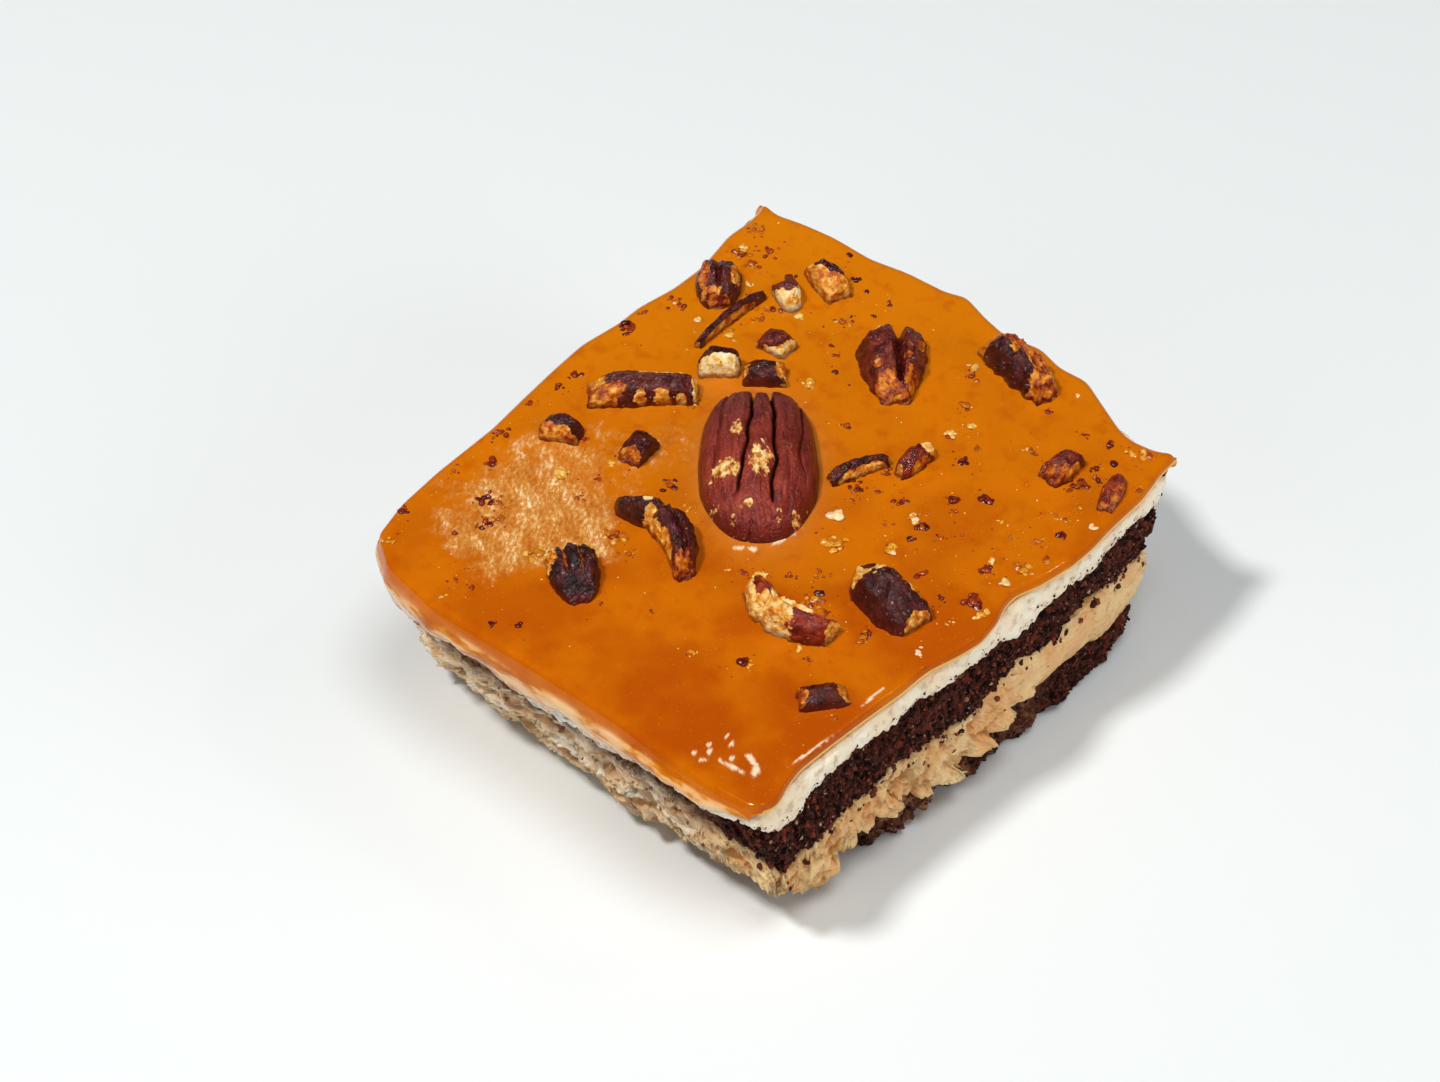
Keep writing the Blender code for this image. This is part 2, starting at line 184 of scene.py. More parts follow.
def cells(finish, size, low, high):  # rounded grains of this size in mm
    made = addNode(finish, "ShaderNodeTexVoronoi", {"Vector": placeOf(finish), "Scale": 1000 / size})
    return rangeOf(finish, made.outputs["Distance"], low, high)


def rangeOf(finish, value, low, high, start=0.0, end=1.0):
    return addNode(finish, "ShaderNodeMapRange", {
        "Value": value, "From Min": low, "From Max": high, "To Min": start, "To Max": end,
    }, interpolation_type="SMOOTHSTEP").outputs["Result"]


def ramp(finish, value, *stops):  # a colour at each of some places from 0 to 1
    made = addNode(finish, "ShaderNodeValToRGB", {"Fac": value})
    line = made.color_ramp.elements
    line.remove(line[1])
    line[0].position, line[0].color = stops[0][0], shade(*stops[0][1])
    for place, colour in stops[1:]:
        line.new(place).color = shade(*colour)
    return made.outputs["Color"]


def painted(finish, name):  # reads a piece's own attribute
    return addNode(finish, "ShaderNodeAttribute", {}, attribute_name=name).outputs["Fac"]


def sums(finish, operation, first, second):
    made = addNode(finish, "ShaderNodeMath", {0: first, 1: second}, operation=operation)
    return made.outputs[0]


def blendOf(finish, share, first, second, amount=1.0):  # from one colour or socket to another
    if amount < 1:
        share = sums(finish, "MULTIPLY", share, amount)
    first, second = (shade(*tone) if isinstance(tone, tuple) else tone for tone in (first, second))
    return addNode(finish, "ShaderNodeMix", {0: share, 6: first, 7: second}, data_type="RGBA").outputs[2]


def addBump(finish, shader, height, depth, strength):
    made = addNode(finish, "ShaderNodeBump", {"Height": height, "Distance": depth * mm,
                                              "Strength": strength})
    connect(finish, made.outputs["Normal"], shader, "Normal")


def connect(finish, socket, shader, name):
    finish.node_tree.links.new(socket, shader.inputs[name])


# camera, as the photograph was taken, with soft studio lights and a pale floor

studio = {
    "camera": (-0.29039, -0.27430, 0.41540),
    "forward": (0.5083, 0.4943, -0.7051),
    "right": (0.6895, -0.7242, -0.0106),
    "lens": 100.0,
    "surroundings": 0.07,
    "floor": (234, 238, 239),
}
lamps = {  # direction from the cake, distance and size in metres, power in watts, colour
    "keyLamp": ((-0.426, 0.173, 0.888), 1.2, 0.17, 9.0, (1.0, 0.985, 0.96)),
    "topLamp": ((-0.08, -0.28, 0.95), 1.5, 0.6, 8.0, (0.97, 0.99, 1.0)),
    "sideLamp": ((-0.8, 0.1, 0.34), 1.3, 1.1, 2.3, (1.0, 0.98, 0.96)),
    "frontLamp": ((0.3, -0.86, 0.34), 1.3, 0.8, 4.8, (1.0, 0.99, 0.97)),
    "edgeLamp": ((0.2715, -0.258, 0.499), 0.624, 0.02, 0.11, (1.0, 0.96, 0.88)),
}

camera = bpy.data.objects.new("camera", bpy.data.cameras.new("camera"))
scene = bpy.context.scene
scene.collection.objects.link(camera)
forward, right = Vector(studio["forward"]).normalized(), Vector(studio["right"]).normalized()
upward = right.cross(forward)
turned = Matrix((right, upward, -forward)).transposed()
camera.matrix_world = Matrix.Translation(studio["camera"]) @ turned.to_4x4()
camera.data.lens = studio["lens"]
camera.data.sensor_width = 36.0
camera.data.clip_start = 0.01
scene.camera = camera
scene.view_settings.view_transform = "Standard"

for name, (direction, distance, size, power, tint) in lamps.items():
    lamp = bpy.data.objects.new(name, bpy.data.lights.new(name, "AREA"))
    lamp.data.shape = "DISK"
    lamp.data.size, lamp.data.energy, lamp.data.color = size, power, tint
    direction = Vector(direction).normalized()
    lamp.location = direction * distance
    lamp.rotation_euler = direction.to_track_quat("Z", "Y").to_euler()
    scene.collection.objects.link(lamp)
    lamp.visible_glossy = name not in ("sideLamp", "frontLamp")  # soft fill without a mirror image

world = bpy.data.worlds.new("studio")
world.use_nodes = True
world.node_tree.nodes["Background"].inputs["Color"].default_value = (0.96, 0.98, 1.0, 1.0)
world.node_tree.nodes["Background"].inputs["Strength"].default_value = studio["surroundings"]
scene.world = world

floor = startPiece("floor", bpy.ops.mesh.primitive_plane_add, size=6.0, location=(0, 0, -0.0002))
bpy.ops.object.mode_set(mode="EDIT")
bpy.ops.mesh.subdivide(number_cuts=3)
bpy.ops.object.mode_set(mode="OBJECT")
floorFinish, floorShader = newFinish("pale floor", Roughness=0.6, Specular_IOR_Level=0.2)
floorTone = blendOf(floorFinish, grain(floorFinish, 300), studio["floor"], (236, 240, 241))
connect(floorFinish, floorTone, floorShader, "Base Color")
floor.data.materials.append(floorFinish)
print("set up the camera, lights and floor")


# the cake's outline from above in mm, from the front left corner round by the right

cake = {
    "front": ((-45.6, -42.0), (-38.0, -41.6), (-26.0, -41.3), (-12.0, -41.6), (2.0, -41.6),
              (16.0, -41.8), (30.0, -41.3), (40.4, -40.0)),
    "right": ((42.8, -37.0), (44.0, -29.0), (45.9, -20.0), (46.5, -8.0), (47.4, 3.0),
              (46.4, 14.5), (45.6, 24.0), (44.4, 34.5)),
    "back": ((42.4, 40.0), (33.0, 39.2), (20.3, 38.0), (9.6, 38.2), (-3.9, 37.6), (-18.2, 35.9),
             (-30.0, 34.8), (-38.0, 33.4)),
    "left": ((-44.0, 30.6), (-47.2, 24.5), (-48.2, 14.0), (-47.9, 4.8), (-47.3, -6.2),
             (-46.9, -17.8), (-46.8, -28.0), (-46.7, -36.0)),
    # how far the slanted cut runs in by the table, and the height where it starts
    "leanLeft": 9.6, "leanRight": 9.0, "leanHeight": 27.9,
    "halfLength": 46.0, "halfWidth": 40.0,
    # how far the front is drawn in by the table, (x, depth), how high that reaches, and y there
    "tuck": ((-40, 6.0), (-36.3, 5.7), (-34, 4.4), (-31.8, 3.2), (-29.8, 2.8), (-26.1, 4.4), (-23.1, 5.0),
             (-21.6, 4.5), (-20.4, 2.8), (-18, 2.2), (-15.1, 1.1), (-10.9, 1.2), (-7.9, 2.0), (-5.4, 2.7),
             (-4.0, 1.0), (0, 0.4), (2.3, 1.6), (6.9, 1.9), (10.1, 1.0), (14.8, 1.3), (18.6, 0.8),
             (23.1, 0.9), (26.5, 0.1), (31, 0.0), (34, 0.4), (40, 2.0)),
    "tuckHeight": 13.0, "tuckReach": 41.7,
}


def evenSteps(points, count, closed=True):  # the same line with points at even distances
    line = points + points[:1] if closed else points
    reached = [0.0]
    for first, second in zip(line, line[1:]):
        reached.append(reached[-1] + (second - first).length)
    spread, place = [], 0
    for step in range(count):
        wanted = reached[-1] * step / (count if closed else count - 1)
        while place < len(line) - 2 and reached[place + 1] < wanted:
            place += 1
        share = (wanted - reached[place]) / (reached[place + 1] - reached[place])
        spread.append(line[place].lerp(line[place + 1], min(1.0, share)))
    return spread


def smoothLoop(points, count, reach):  # rounds a closed line, reach is how many steps are averaged
    spread = evenSteps(points, count)
    for turn in range(3):
        spread = [sum((spread[(place + step) % count] for step in range(-reach, reach + 1)),
                      Vector((0, 0))) / (2 * reach + 1) for place in range(count)]
    return spread


def outwards(points):  # the outward direction at each point of a closed line
    count = len(points)
    found = []
    for place in range(count):
        ahead = points[(place + 2) % count] - points[place - 2]
        found.append(Vector((ahead.y, -ahead.x)).normalized())
    return found


columns = 1160
cakeLine = smoothLoop([Vector(spot) for side in ("front", "right", "back", "left")
                       for spot in cake[side]], columns, 4)
cakeNormals = outwards(cakeLine)


def planSpot(x, y, depth, height):  # drawn in by depth, after the slanted cut at this height
    lean = cake["leanLeft" if x < 0 else "leanRight"] * max(0.0, 1.0 - height / cake["leanHeight"])
    lean += 1.3 * ease((y + 4) / 8) * ease((30 - y) / 10) * ease(1 - height / 14) * (x < 0)
    x, y = x * (1 - (lean + depth) / cake["halfLength"]), y * (1 - depth / cake["halfWidth"])
    low = max(0.0, 1 - height / cake["tuckHeight"])
    if y < 0 and low > 0:
        y += along(cake["tuck"], x) * low * (-y / cake["tuckReach"]) ** 3
    return x, y


def wallSpot(x, y, depth, height):  # the same as a point of the mesh
    return Vector((*planSpot(x, y, depth, height), height)) * mm


def leftShare(y, normal):  # 1 on the smeared left face, fading at the front corner
    return max(0.0, -normal.x) * ease((y + 43.0) / 14.0)


def frontShare(normal):
    return max(0.0, -normal.y)


ringStep = 0.05  # between the rings on a drum's ends, as it is first made


def makeDrum(name, rows, rings):
    # a cylinder whose side has rows of faces, and whose two ends have rings drawn in
    drum = startPiece(name, bpy.ops.mesh.primitive_cylinder_add, vertices=columns, radius=1.0,
                      depth=1.0, end_fill_type="NGON")
    pickEdges(drum, lambda first, second: abs(first.z - second.z) > 0.5)
    bpy.ops.mesh.subdivide(number_cuts=rows - 1)
    pickFaces(drum, lambda face: abs(face.normal.z) > 0.9)
    for ring in range(rings):
        bpy.ops.mesh.inset(thickness=ringStep)
    bpy.ops.object.mode_set(mode="OBJECT")
    return drum


def shapeDrum(drum, rows, ringDepths, place):
    # place gives the spot of a point from its column, its share up the side and its depth inwards
    for vertex in drum.data.vertices:
        turn = math.atan2(vertex.co.y, vertex.co.x) / (2 * math.pi)
        column = round(turn * columns) % columns
        ring = round((1.0 - math.hypot(vertex.co.x, vertex.co.y)) / ringStep)
        share = round((vertex.co.z + 0.5) * rows) / rows
        vertex.co = place(column, share, ringDepths[min(ring, len(ringDepths) - 1)])


# each layer's lower and upper edge along the front face, (x, height) in mm

edges = {
    "spongeUnder": ((-45, 3.2), (-38, 2.6), (-31.6, 4.2), (-27.9, 7.0), (-24, 7.3), (-17, 6.6),
                    (-12.2, 5.2), (-6.4, 3.6), (-5.0, 5.9), (-0.5, 6.7), (2.8, 8.4), (9.0, 7.8),
                    (17.7, 9.2), (22.7, 8.7), (34, 7.3), (44, 7.4)),
    "creamTop": ((-45, 12.6), (-39.1, 13.4), (-34.2, 14.6), (-24.8, 14.4), (-20.3, 16.2),
                 (-15.2, 14.8), (-4.8, 14.1), (0.6, 14.4), (8.4, 16.4), (13.8, 15.5), (22.0, 16.9),
                 (28.0, 17.4), (35.3, 15.6), (44, 15.4)),
    "spongeTop": ((-45, 24.6), (-41.5, 23.4), (-38.5, 22.8), (-36.6, 24.2), (-34.4, 25.0), (-28, 25.8),
                  (-24.5, 25.8), (-18, 25.2), (-11.8, 25.7), (-5.3, 24.6), (1.3, 24.5),
                  (8.0, 23.4), (11.9, 24.4), (17.9, 25.0), (21.4, 24.3), (31.3, 26.0), (44, 24.6)),
}


# caramel drape along the left face: how low its edge hangs, (y, height) in mm

drapeEdge = ((-44, 28.0), (-40, 27.0), (-33, 25.2), (-28, 26.2), (-23.4, 25.6), (-18, 23.4),
             (-13.0, 21.6), (-10, 22.8), (-7.5, 23.3), (-3, 21.3), (0, 20.9), (4, 22.6), (7, 24.4),
             (13, 24.4), (18.5, 23.0), (22, 21.0), (26, 20.0), (31, 22.5), (36, 26.0))


def insideSpot(layer, x, y, share, edge, depth, start, reach):
    # a point on a layer's end, drawn in by depth, where its edge levels off within reach
    level = layer["lower" if share < 0.5 else "upper"]
    height = level + (edge - level) * max(0.0, 1 - depth / reach)
    return wallSpot(x, y, start + depth, height)


def sideOfCorner(y, normal):  # 1 on the left face beside the front corner, where the sponge shows
    return max(0.0, -normal.x) * ease((-23 - y) / 8)


def edgeAt(name, level, x, y, normal, seed):  # an edge's height anywhere round the cake
    measured = along(edges[name], x) if normal.y < 0 else level
    share = ease(frontShare(normal) * 1.3)
    return level + (measured - level) * share + 0.9 * (1 - share) * ripple(x, y, seed, 9.0)


# lower chocolate sponge

lowerSponge = {"rows": 24, "top": 7.5, "inset": 0.3, "smearedInset": 3.2, "crag": 1.32, "cragSize": 6.5,
               "crumb": 0.8, "grain": 1.15}
juttingFlakes = (  # x and height along the front face, reach outwards, half width, half thickness
    (-13.6, 3.4, 2.4, 3.0, 0.9), (-17.2, 1.6, 1.2, 3.4, 1.2), (-3.2, 3.6, 2.0, 1.8, 0.8),
    (-5.6, 1.4, 1.0, 2.4, 0.9), (10.6, 4.6, 1.4, 2.2, 0.8), (19.8, 2.4, 1.3, 2.0, 0.9),
    (29.0, 5.0, 1.2, 1.6, 0.8),
)


def lowerSpongeSpot(column, share, depth):
    (x, y), normal = cakeLine[column], cakeNormals[column]
    top = edgeAt("spongeUnder", lowerSponge["top"] - 1.6 * leftShare(y, normal), x, y, normal, 1.0)
    fade = max(0.0, 1 - depth / 8)
    if depth > 0 and share < 0.5:
        return wallSpot(x, y, 1.2 + depth, 0.0)
    height = top * share + (0 if depth == 0 else (lowerSponge["top"] - top) * (1 - fade))
    smeared = ease(1 - (x + 46.6) / 20)
    inside = lowerSponge["inset"] + lowerSponge["smearedInset"] * smeared + 0.4 * max(0.0, 1 - share * 4)
    inside -= lowerSponge["crag"] * ripple(x, y, height + 40, lowerSponge["cragSize"])
    grains = fromGrain(x, y, height, lowerSponge["grain"])
    inside -= lowerSponge["crumb"] * (0.45 - grains) + 0.36 * ripple(x, y, height, 0.8, 2)
    for flakeX, flakeHeight, reach, wide, thick in juttingFlakes:
        away = math.hypot((x - flakeX) / wide, (height - flakeHeight) / thick)
        if normal.y < -0.5 and away < 1:
            inside -= reach * (1 - away) ** 0.8
    if depth > 0:
        inside = 0.9 + depth
    else:
        height += 0.45 * ripple(x, y, height + 9, 1.6) * math.sin(math.pi * share)
    return Vector((*planSpot(x, y, inside, height), max(0.0, height))) * mm


chocolate, chocolateShader = newFinish("chocolate crumb", Roughness=0.9, Specular_IOR_Level=0.12)
crumbTone = blendOf(chocolate, grain(chocolate, 1.2, 0.38, 0.62), (30, 9, 6), (92, 44, 34))
crumbTone = blendOf(chocolate, grain(chocolate, 2.4, 0.56, 0.7), crumbTone, (126, 52, 30))
# pale specks: light crumbs, with painted highlights on the crumb tips
crumbTone = blendOf(chocolate, grain(chocolate, 0.5, 0.58, 0.72), crumbTone, (150, 104, 88))
smearTone = blendOf(chocolate, grain(chocolate, 1.5, 0.35, 0.65), (110, 62, 40), (176, 130, 98))
smearMask = sums(chocolate, "MULTIPLY", painted(chocolate, "smear"),
                 grain(chocolate, 2.4, 0.32, 0.58, stretch=(0.5, 0.5, 1.4)))
connect(chocolate, blendOf(chocolate, smearMask, crumbTone, smearTone), chocolateShader, "Base Color")
pits = sums(chocolate, "ADD", cells(chocolate, 0.5, 0.0, 0.8), grain(chocolate, 0.35, 0.3, 0.7))
addBump(chocolate, chocolateShader, pits, 0.25, 0.9)

sponge = makeDrum("lowerSponge", lowerSponge["rows"], 3)
shapeDrum(sponge, lowerSponge["rows"], (0.0, 2.0, 5.0, 8.0), lowerSpongeSpot)
paintBy(sponge, "smear", lambda x, y, height: ease(height / 2.0) * (
    0.9 * ease((x + 24) / 8) * ease((16 - x) / 8) if y < -34 else 0.4))
finishPiece(sponge, chocolate, "sponge", "lower_sponge")


# coffee cream, torn and ridged by the knife

coffeeCream = {"rows": 36, "lower": 7.5, "upper": 15.2, "ridge": 2.7, "ridgeSize": 5.0, "strokeSize": 1.5,
               "shelf": 3.7, "shelfSize": 7.0, "bubble": 1.8, "bubbleSize": 3.2,
               "hollow": (-19.2, 11.4, 4.2)}  # x, height and depth
flaps = (  # x and height along the front face, reach outwards, half width, half thickness, pull to +X
    (-23.6, 10.6, 3.4, 2.0, 1.1, 2.4), (-21.4, 8.6, 2.4, 1.2, 0.8, 2.6), (-25.6, 8.2, 1.6, 1.6, 0.9, 0.6),
    (-8.6, 6.4, 2.8, 2.2, 1.1, 2.2), (-6.4, 4.9, 2.0, 1.4, 0.7, 2.2), (-11.6, 8.4, 1.8, 2.4, 1.2, 1.0),
    (-14.0, 6.4, 1.6, 1.8, 0.9, 0.8), (-2.2, 8.6, 2.2, 2.6, 1.2, 2.0), (-5.6, 10.8, 1.5, 2.6, 1.2, 1.0),
    (3.0, 10.2, 1.8, 2.8, 1.2, 1.6), (-30.0, 7.4, 1.5, 2.2, 1.2, 0.6), (-34.2, 5.6, 1.4, 2.4, 1.2, 0.6),
    (-37.6, 8.6, 1.2, 2.8, 1.3, 0.2), (9.4, 9.8, 1.0, 2.4, 1.0, 0.8),
)


def coffeeSpot(column, share, depth):
    (x, y), normal = cakeLine[column], cakeNormals[column]
    left, front = leftShare(y, normal), frontShare(normal)
    low = edgeAt("spongeUnder", coffeeCream["lower"], x, y, normal, 1.0) - 0.4
    low = mixed(low, 2.0 + 1.6 * ripple(x, y, 3.0, 6.0), left)
    high = edgeAt("creamTop", coffeeCream["upper"], x, y, normal, 2.0) + 0.4
    high = mixed(high, 18.6 + 1.5 * ripple(x, y, 5.0, 7.0), left)
    if depth > 0:
        return insideSpot(coffeeCream, x, y, share, low if share < 0.5 else high, depth, 1.4, 8)
    height = low + (high - low) * share
    calm = ease((x + 2) / 16) * front  # smoother to the right along the front
    slant = height - 0.5 * x * front
    ridge, shelf, stroke = (coffeeCream[kind + "Size"] for kind in ("ridge", "shelf", "stroke"))
    ridges = crests(x / ridge, y / ridge, slant / 2.0)
    shelves = crests(x / shelf, y / shelf, height / 2.4, 4)
    strokes = crests(x / stroke, y / stroke, slant / 2.6, 3, 2.0)
    torn = coffeeCream["ridge"] * (1 - 0.8 * calm) * (ridges - 1.1 + 0.4 * (strokes - 1.1)) * (1 - left)
    torn += coffeeCream["shelf"] * (shelves - 1.2) * left
    inside = 0.5 - 0.55 * torn - 0.9 * math.sin(math.pi * share) ** 0.7
    inside -= 0.8 * ripple(x, y, height + 70, 8.0) * (1 - 0.4 * calm)
    hollowX, hollowHeight, hollowDepth = coffeeCream["hollow"]
    spread = ((x - hollowX) / 2.6) ** 2 + ((height - hollowHeight) / 2.4) ** 2
    inside += hollowDepth * math.exp(-spread) * front
    inside -= 1.2 * math.exp(-((x + 37) / 7) ** 2) * front * (1 - share)
    holes = fromGrain(x, y, 2 * height, coffeeCream["bubbleSize"])
    inside += coffeeCream["bubble"] * ease((0.22 - holes) / 0.16) * (1 - 0.8 * calm)
    pulled, dropped = 0.0, 0.0
    for flapX, flapHeight, reach, wide, thick, pull in flaps:
        away = math.hypot((x - flapX) / wide, (height - flapHeight) / thick)
        if front > 0.5 and away < 1:
            out = math.sqrt(1 - away * away)
            inside -= reach * out
            pulled += pull * out * out * (0.6 + 0.4 * out)
            dropped += 0.3 * reach * out ** 3
    height += 0.4 * ripple(x, y, height + 20, 1.8) * math.sin(math.pi * share) - dropped
    height += left * math.sin(math.pi * share) * (0.5 * ripple(x, y, height, 1.1) + 0.4 * (shelves - 1.2))
    across, deep = planSpot(x, y, inside, height)
    return Vector((across + pulled, deep, height)) * mm


coffee, coffeeShader = newFinish("coffee cream", Roughness=0.42, Specular_IOR_Level=0.45,
                                 Subsurface_Weight=0.25, Subsurface_Scale=0.0012)
coffeeShader.inputs["Subsurface Radius"].default_value = (1.0, 0.6, 0.3)
creamTone = blendOf(coffee, grain(coffee, 5.0, 0.35, 0.65), (246, 190, 126), (255, 216, 158))
creamTone = blendOf(coffee, grain(coffee, 1.4, 0.52, 0.75), creamTone, (232, 160, 86))
creamTone = blendOf(coffee, grain(coffee, 0.9, 0.66, 0.74, 3.0), creamTone, (150, 88, 40))
greyTone = ramp(coffee, grain(coffee, 3.0, 0.3, 0.74, 2.0, stretch=(0.35, 0.35, 1.5)),
                (0.0, (255, 238, 212)), (0.4, (244, 208, 162)), (0.68, (222, 178, 126)),
                (1.0, (160, 112, 72)))
# painted shade: dark dots for small holes in the cream
poreShade = sums(coffee, "MULTIPLY", cells(coffee, 1.5, 0.26, 0.14), grain(coffee, 5.0, 0.4, 0.55))
greyTone = blendOf(coffee, poreShade, greyTone, (116, 76, 46))
# painted shade: greyer and darker high on the left face, under the caramel drape
shadeUnderDrape = sums(coffee, "MULTIPLY", rangeOf(coffee, axesOf(coffee)["Z"], 0.014, 0.0195),
             grain(coffee, 2.0, 0.3, 0.6, 3.0, stretch=(0.4, 0.4, 1.3)))
greyTone = blendOf(coffee, shadeUnderDrape, greyTone, (146, 112, 88))
connect(coffee, blendOf(coffee, painted(coffee, "smear"), creamTone, greyTone), coffeeShader, "Base Color")
addBump(coffee, coffeeShader, grain(coffee, 0.8, 0.2, 0.8, 4.0, stretch=(0.4, 0.4, 1.3)), 0.5, 1.0)

cream = makeDrum("coffeeCream", coffeeCream["rows"], 3)
shapeDrum(cream, coffeeCream["rows"], (0.0, 2.0, 5.0, 8.0), coffeeSpot)
paintBy(cream, "smear", lambda x, y, height: ease((-30 - x) / 8) * ease((y + 36) / 8))
finishPiece(cream, coffee, "coffee_cream", "coffee_cream")


# upper chocolate sponge

upperSponge = {"rows": 32, "lower": 15.2, "upper": 24.6, "inset": 0.45, "crag": 1.02, "cragSize": 5.5,
               "crumb": 0.85, "grain": 1.1}


def upperSpongeSpot(column, share, depth):
    (x, y), normal = cakeLine[column], cakeNormals[column]
    left = leftShare(y, normal)
    low = edgeAt("creamTop", upperSponge["lower"], x, y, normal, 2.0)
    low = mixed(low, 17.6, left)
    high = edgeAt("spongeTop", upperSponge["upper"], x, y, normal, 3.0)
    high = mixed(high, 23.4, left)
    beside = sideOfCorner(y, normal)
    high = mixed(high, along(drapeEdge, y) - 0.5, beside)
    if depth > 0:
        return insideSpot(upperSponge, x, y, share, low if share < 0.5 else high, depth, 1.2, 8)
    height = low + (high - low) * share
    inside = upperSponge["inset"] + 0.5 * left
    inside -= upperSponge["crag"] * ripple(x, y, height + 90, upperSponge["cragSize"])
    grains = fromGrain(x, y, height + 30, upperSponge["grain"])
    inside -= upperSponge["crumb"] * (0.45 - grains) + 0.4 * ripple(x, y, height, 0.8, 2)
    inside += 0.5 * abs(2 * share - 1) ** 3
    height += 0.5 * ripple(x, y, height + 9, 1.3) * (0.4 + 0.6 * (1 - share))
    return wallSpot(x, y, inside, height)


sponge = makeDrum("upperSponge", upperSponge["rows"], 3)
shapeDrum(sponge, upperSponge["rows"], (0.0, 2.0, 5.0, 8.0), upperSpongeSpot)
paintBy(sponge, "smear", lambda x, y, height: ease((-34 - x) / 6) * ease((y + 36) / 6))
finishPiece(sponge, chocolate, "sponge", "upper_sponge")


# thin white cream

whiteCream = {"rows": 16, "lower": 24.6, "upper": 27.9, "shoulder": 28.0, "rounding": 0.9, "inset": 0.25}


def whiteSpot(column, share, depth):
    (x, y), normal = cakeLine[column], cakeNormals[column]
    left, front = leftShare(y, normal), frontShare(normal)
    low = edgeAt("spongeTop", whiteCream["lower"], x, y, normal, 3.0) - 0.25
    smeared = along(drapeEdge, y) - 1.3 + 1.5 * ripple(x, y, 8.0, 3.5)
    low = mixed(low, min(24.0, smeared), left)
    beside = sideOfCorner(y, normal)
    low = mixed(low, along(drapeEdge, y) - 0.8, beside)
    high = whiteCream["shoulder"] + 0.8 * front + 0.25 * ripple(x, y, 6.0, 6.0)
    high = mixed(high, max(low + 1.5, 26.5), left)
    if depth > 0:
        edge = low if share < 0.5 else high
        return insideSpot(whiteCream, x, y, share, edge, depth, 1.0 + share * 0.8, 5)
    turn = ease((share - 0.55) / 0.45)
    height = low + (high - low) * (share if share < 0.55 else 0.55 + 0.45 * math.sin(turn * math.pi / 2))
    inside = whiteCream["inset"] + whiteCream["rounding"] * (1 - math.cos(turn * math.pi / 2)) * (1 - left)
    inside -= 0.35 * ripple(x, y, height + 60, 5.0) + 0.22 * ripple(x, y, height, 1.3)
    inside -= 0.25 * math.sin(math.pi * share) + 0.35 * left
    height += 0.6 * ripple(x, y, height + 9, 1.2) * (1 - share) ** 2
    return wallSpot(x, y, inside, height)


white, whiteShader = newFinish("white cream", Roughness=0.38, Specular_IOR_Level=0.5,
                               Subsurface_Weight=0.35, Subsurface_Scale=0.0015)
whiteShader.inputs["Subsurface Radius"].default_value = (1.0, 0.8, 0.6)
paleTone = blendOf(white, grain(white, 4.0, 0.35, 0.65), (255, 241, 218), (254, 229, 196))
paleTone = blendOf(white, grain(white, 1.6, 0.48, 0.72), paleTone, (214, 186, 154))
smearTone = blendOf(white, grain(white, 1.3, 0.4, 0.62, stretch=(0.4, 0.4, 1.6)), (196, 188, 178),
                    (236, 230, 220))
smearTone = blendOf(white, grain(white, 0.9, 0.58, 0.66, stretch=(0.4, 0.4, 1.6)), smearTone, (104, 84, 72))
connect(white, blendOf(white, painted(white, "smear"), paleTone, smearTone), whiteShader, "Base Color")
addBump(white, whiteShader, grain(white, 0.8, 0.2, 0.8, 4.0), 0.16, 0.7)

cream = makeDrum("whiteCream", whiteCream["rows"], 3)
shapeDrum(cream, whiteCream["rows"], (0.0, 1.4, 3.0, 5.0), whiteSpot)
paintBy(cream, "smear", lambda x, y, height: ease((-40 - x) / 4) * ease((y + 38) / 5))
finishPiece(cream, white, "white_cream", "white_cream")


# the pecans: places in mm, turn in degrees, as the solids lie

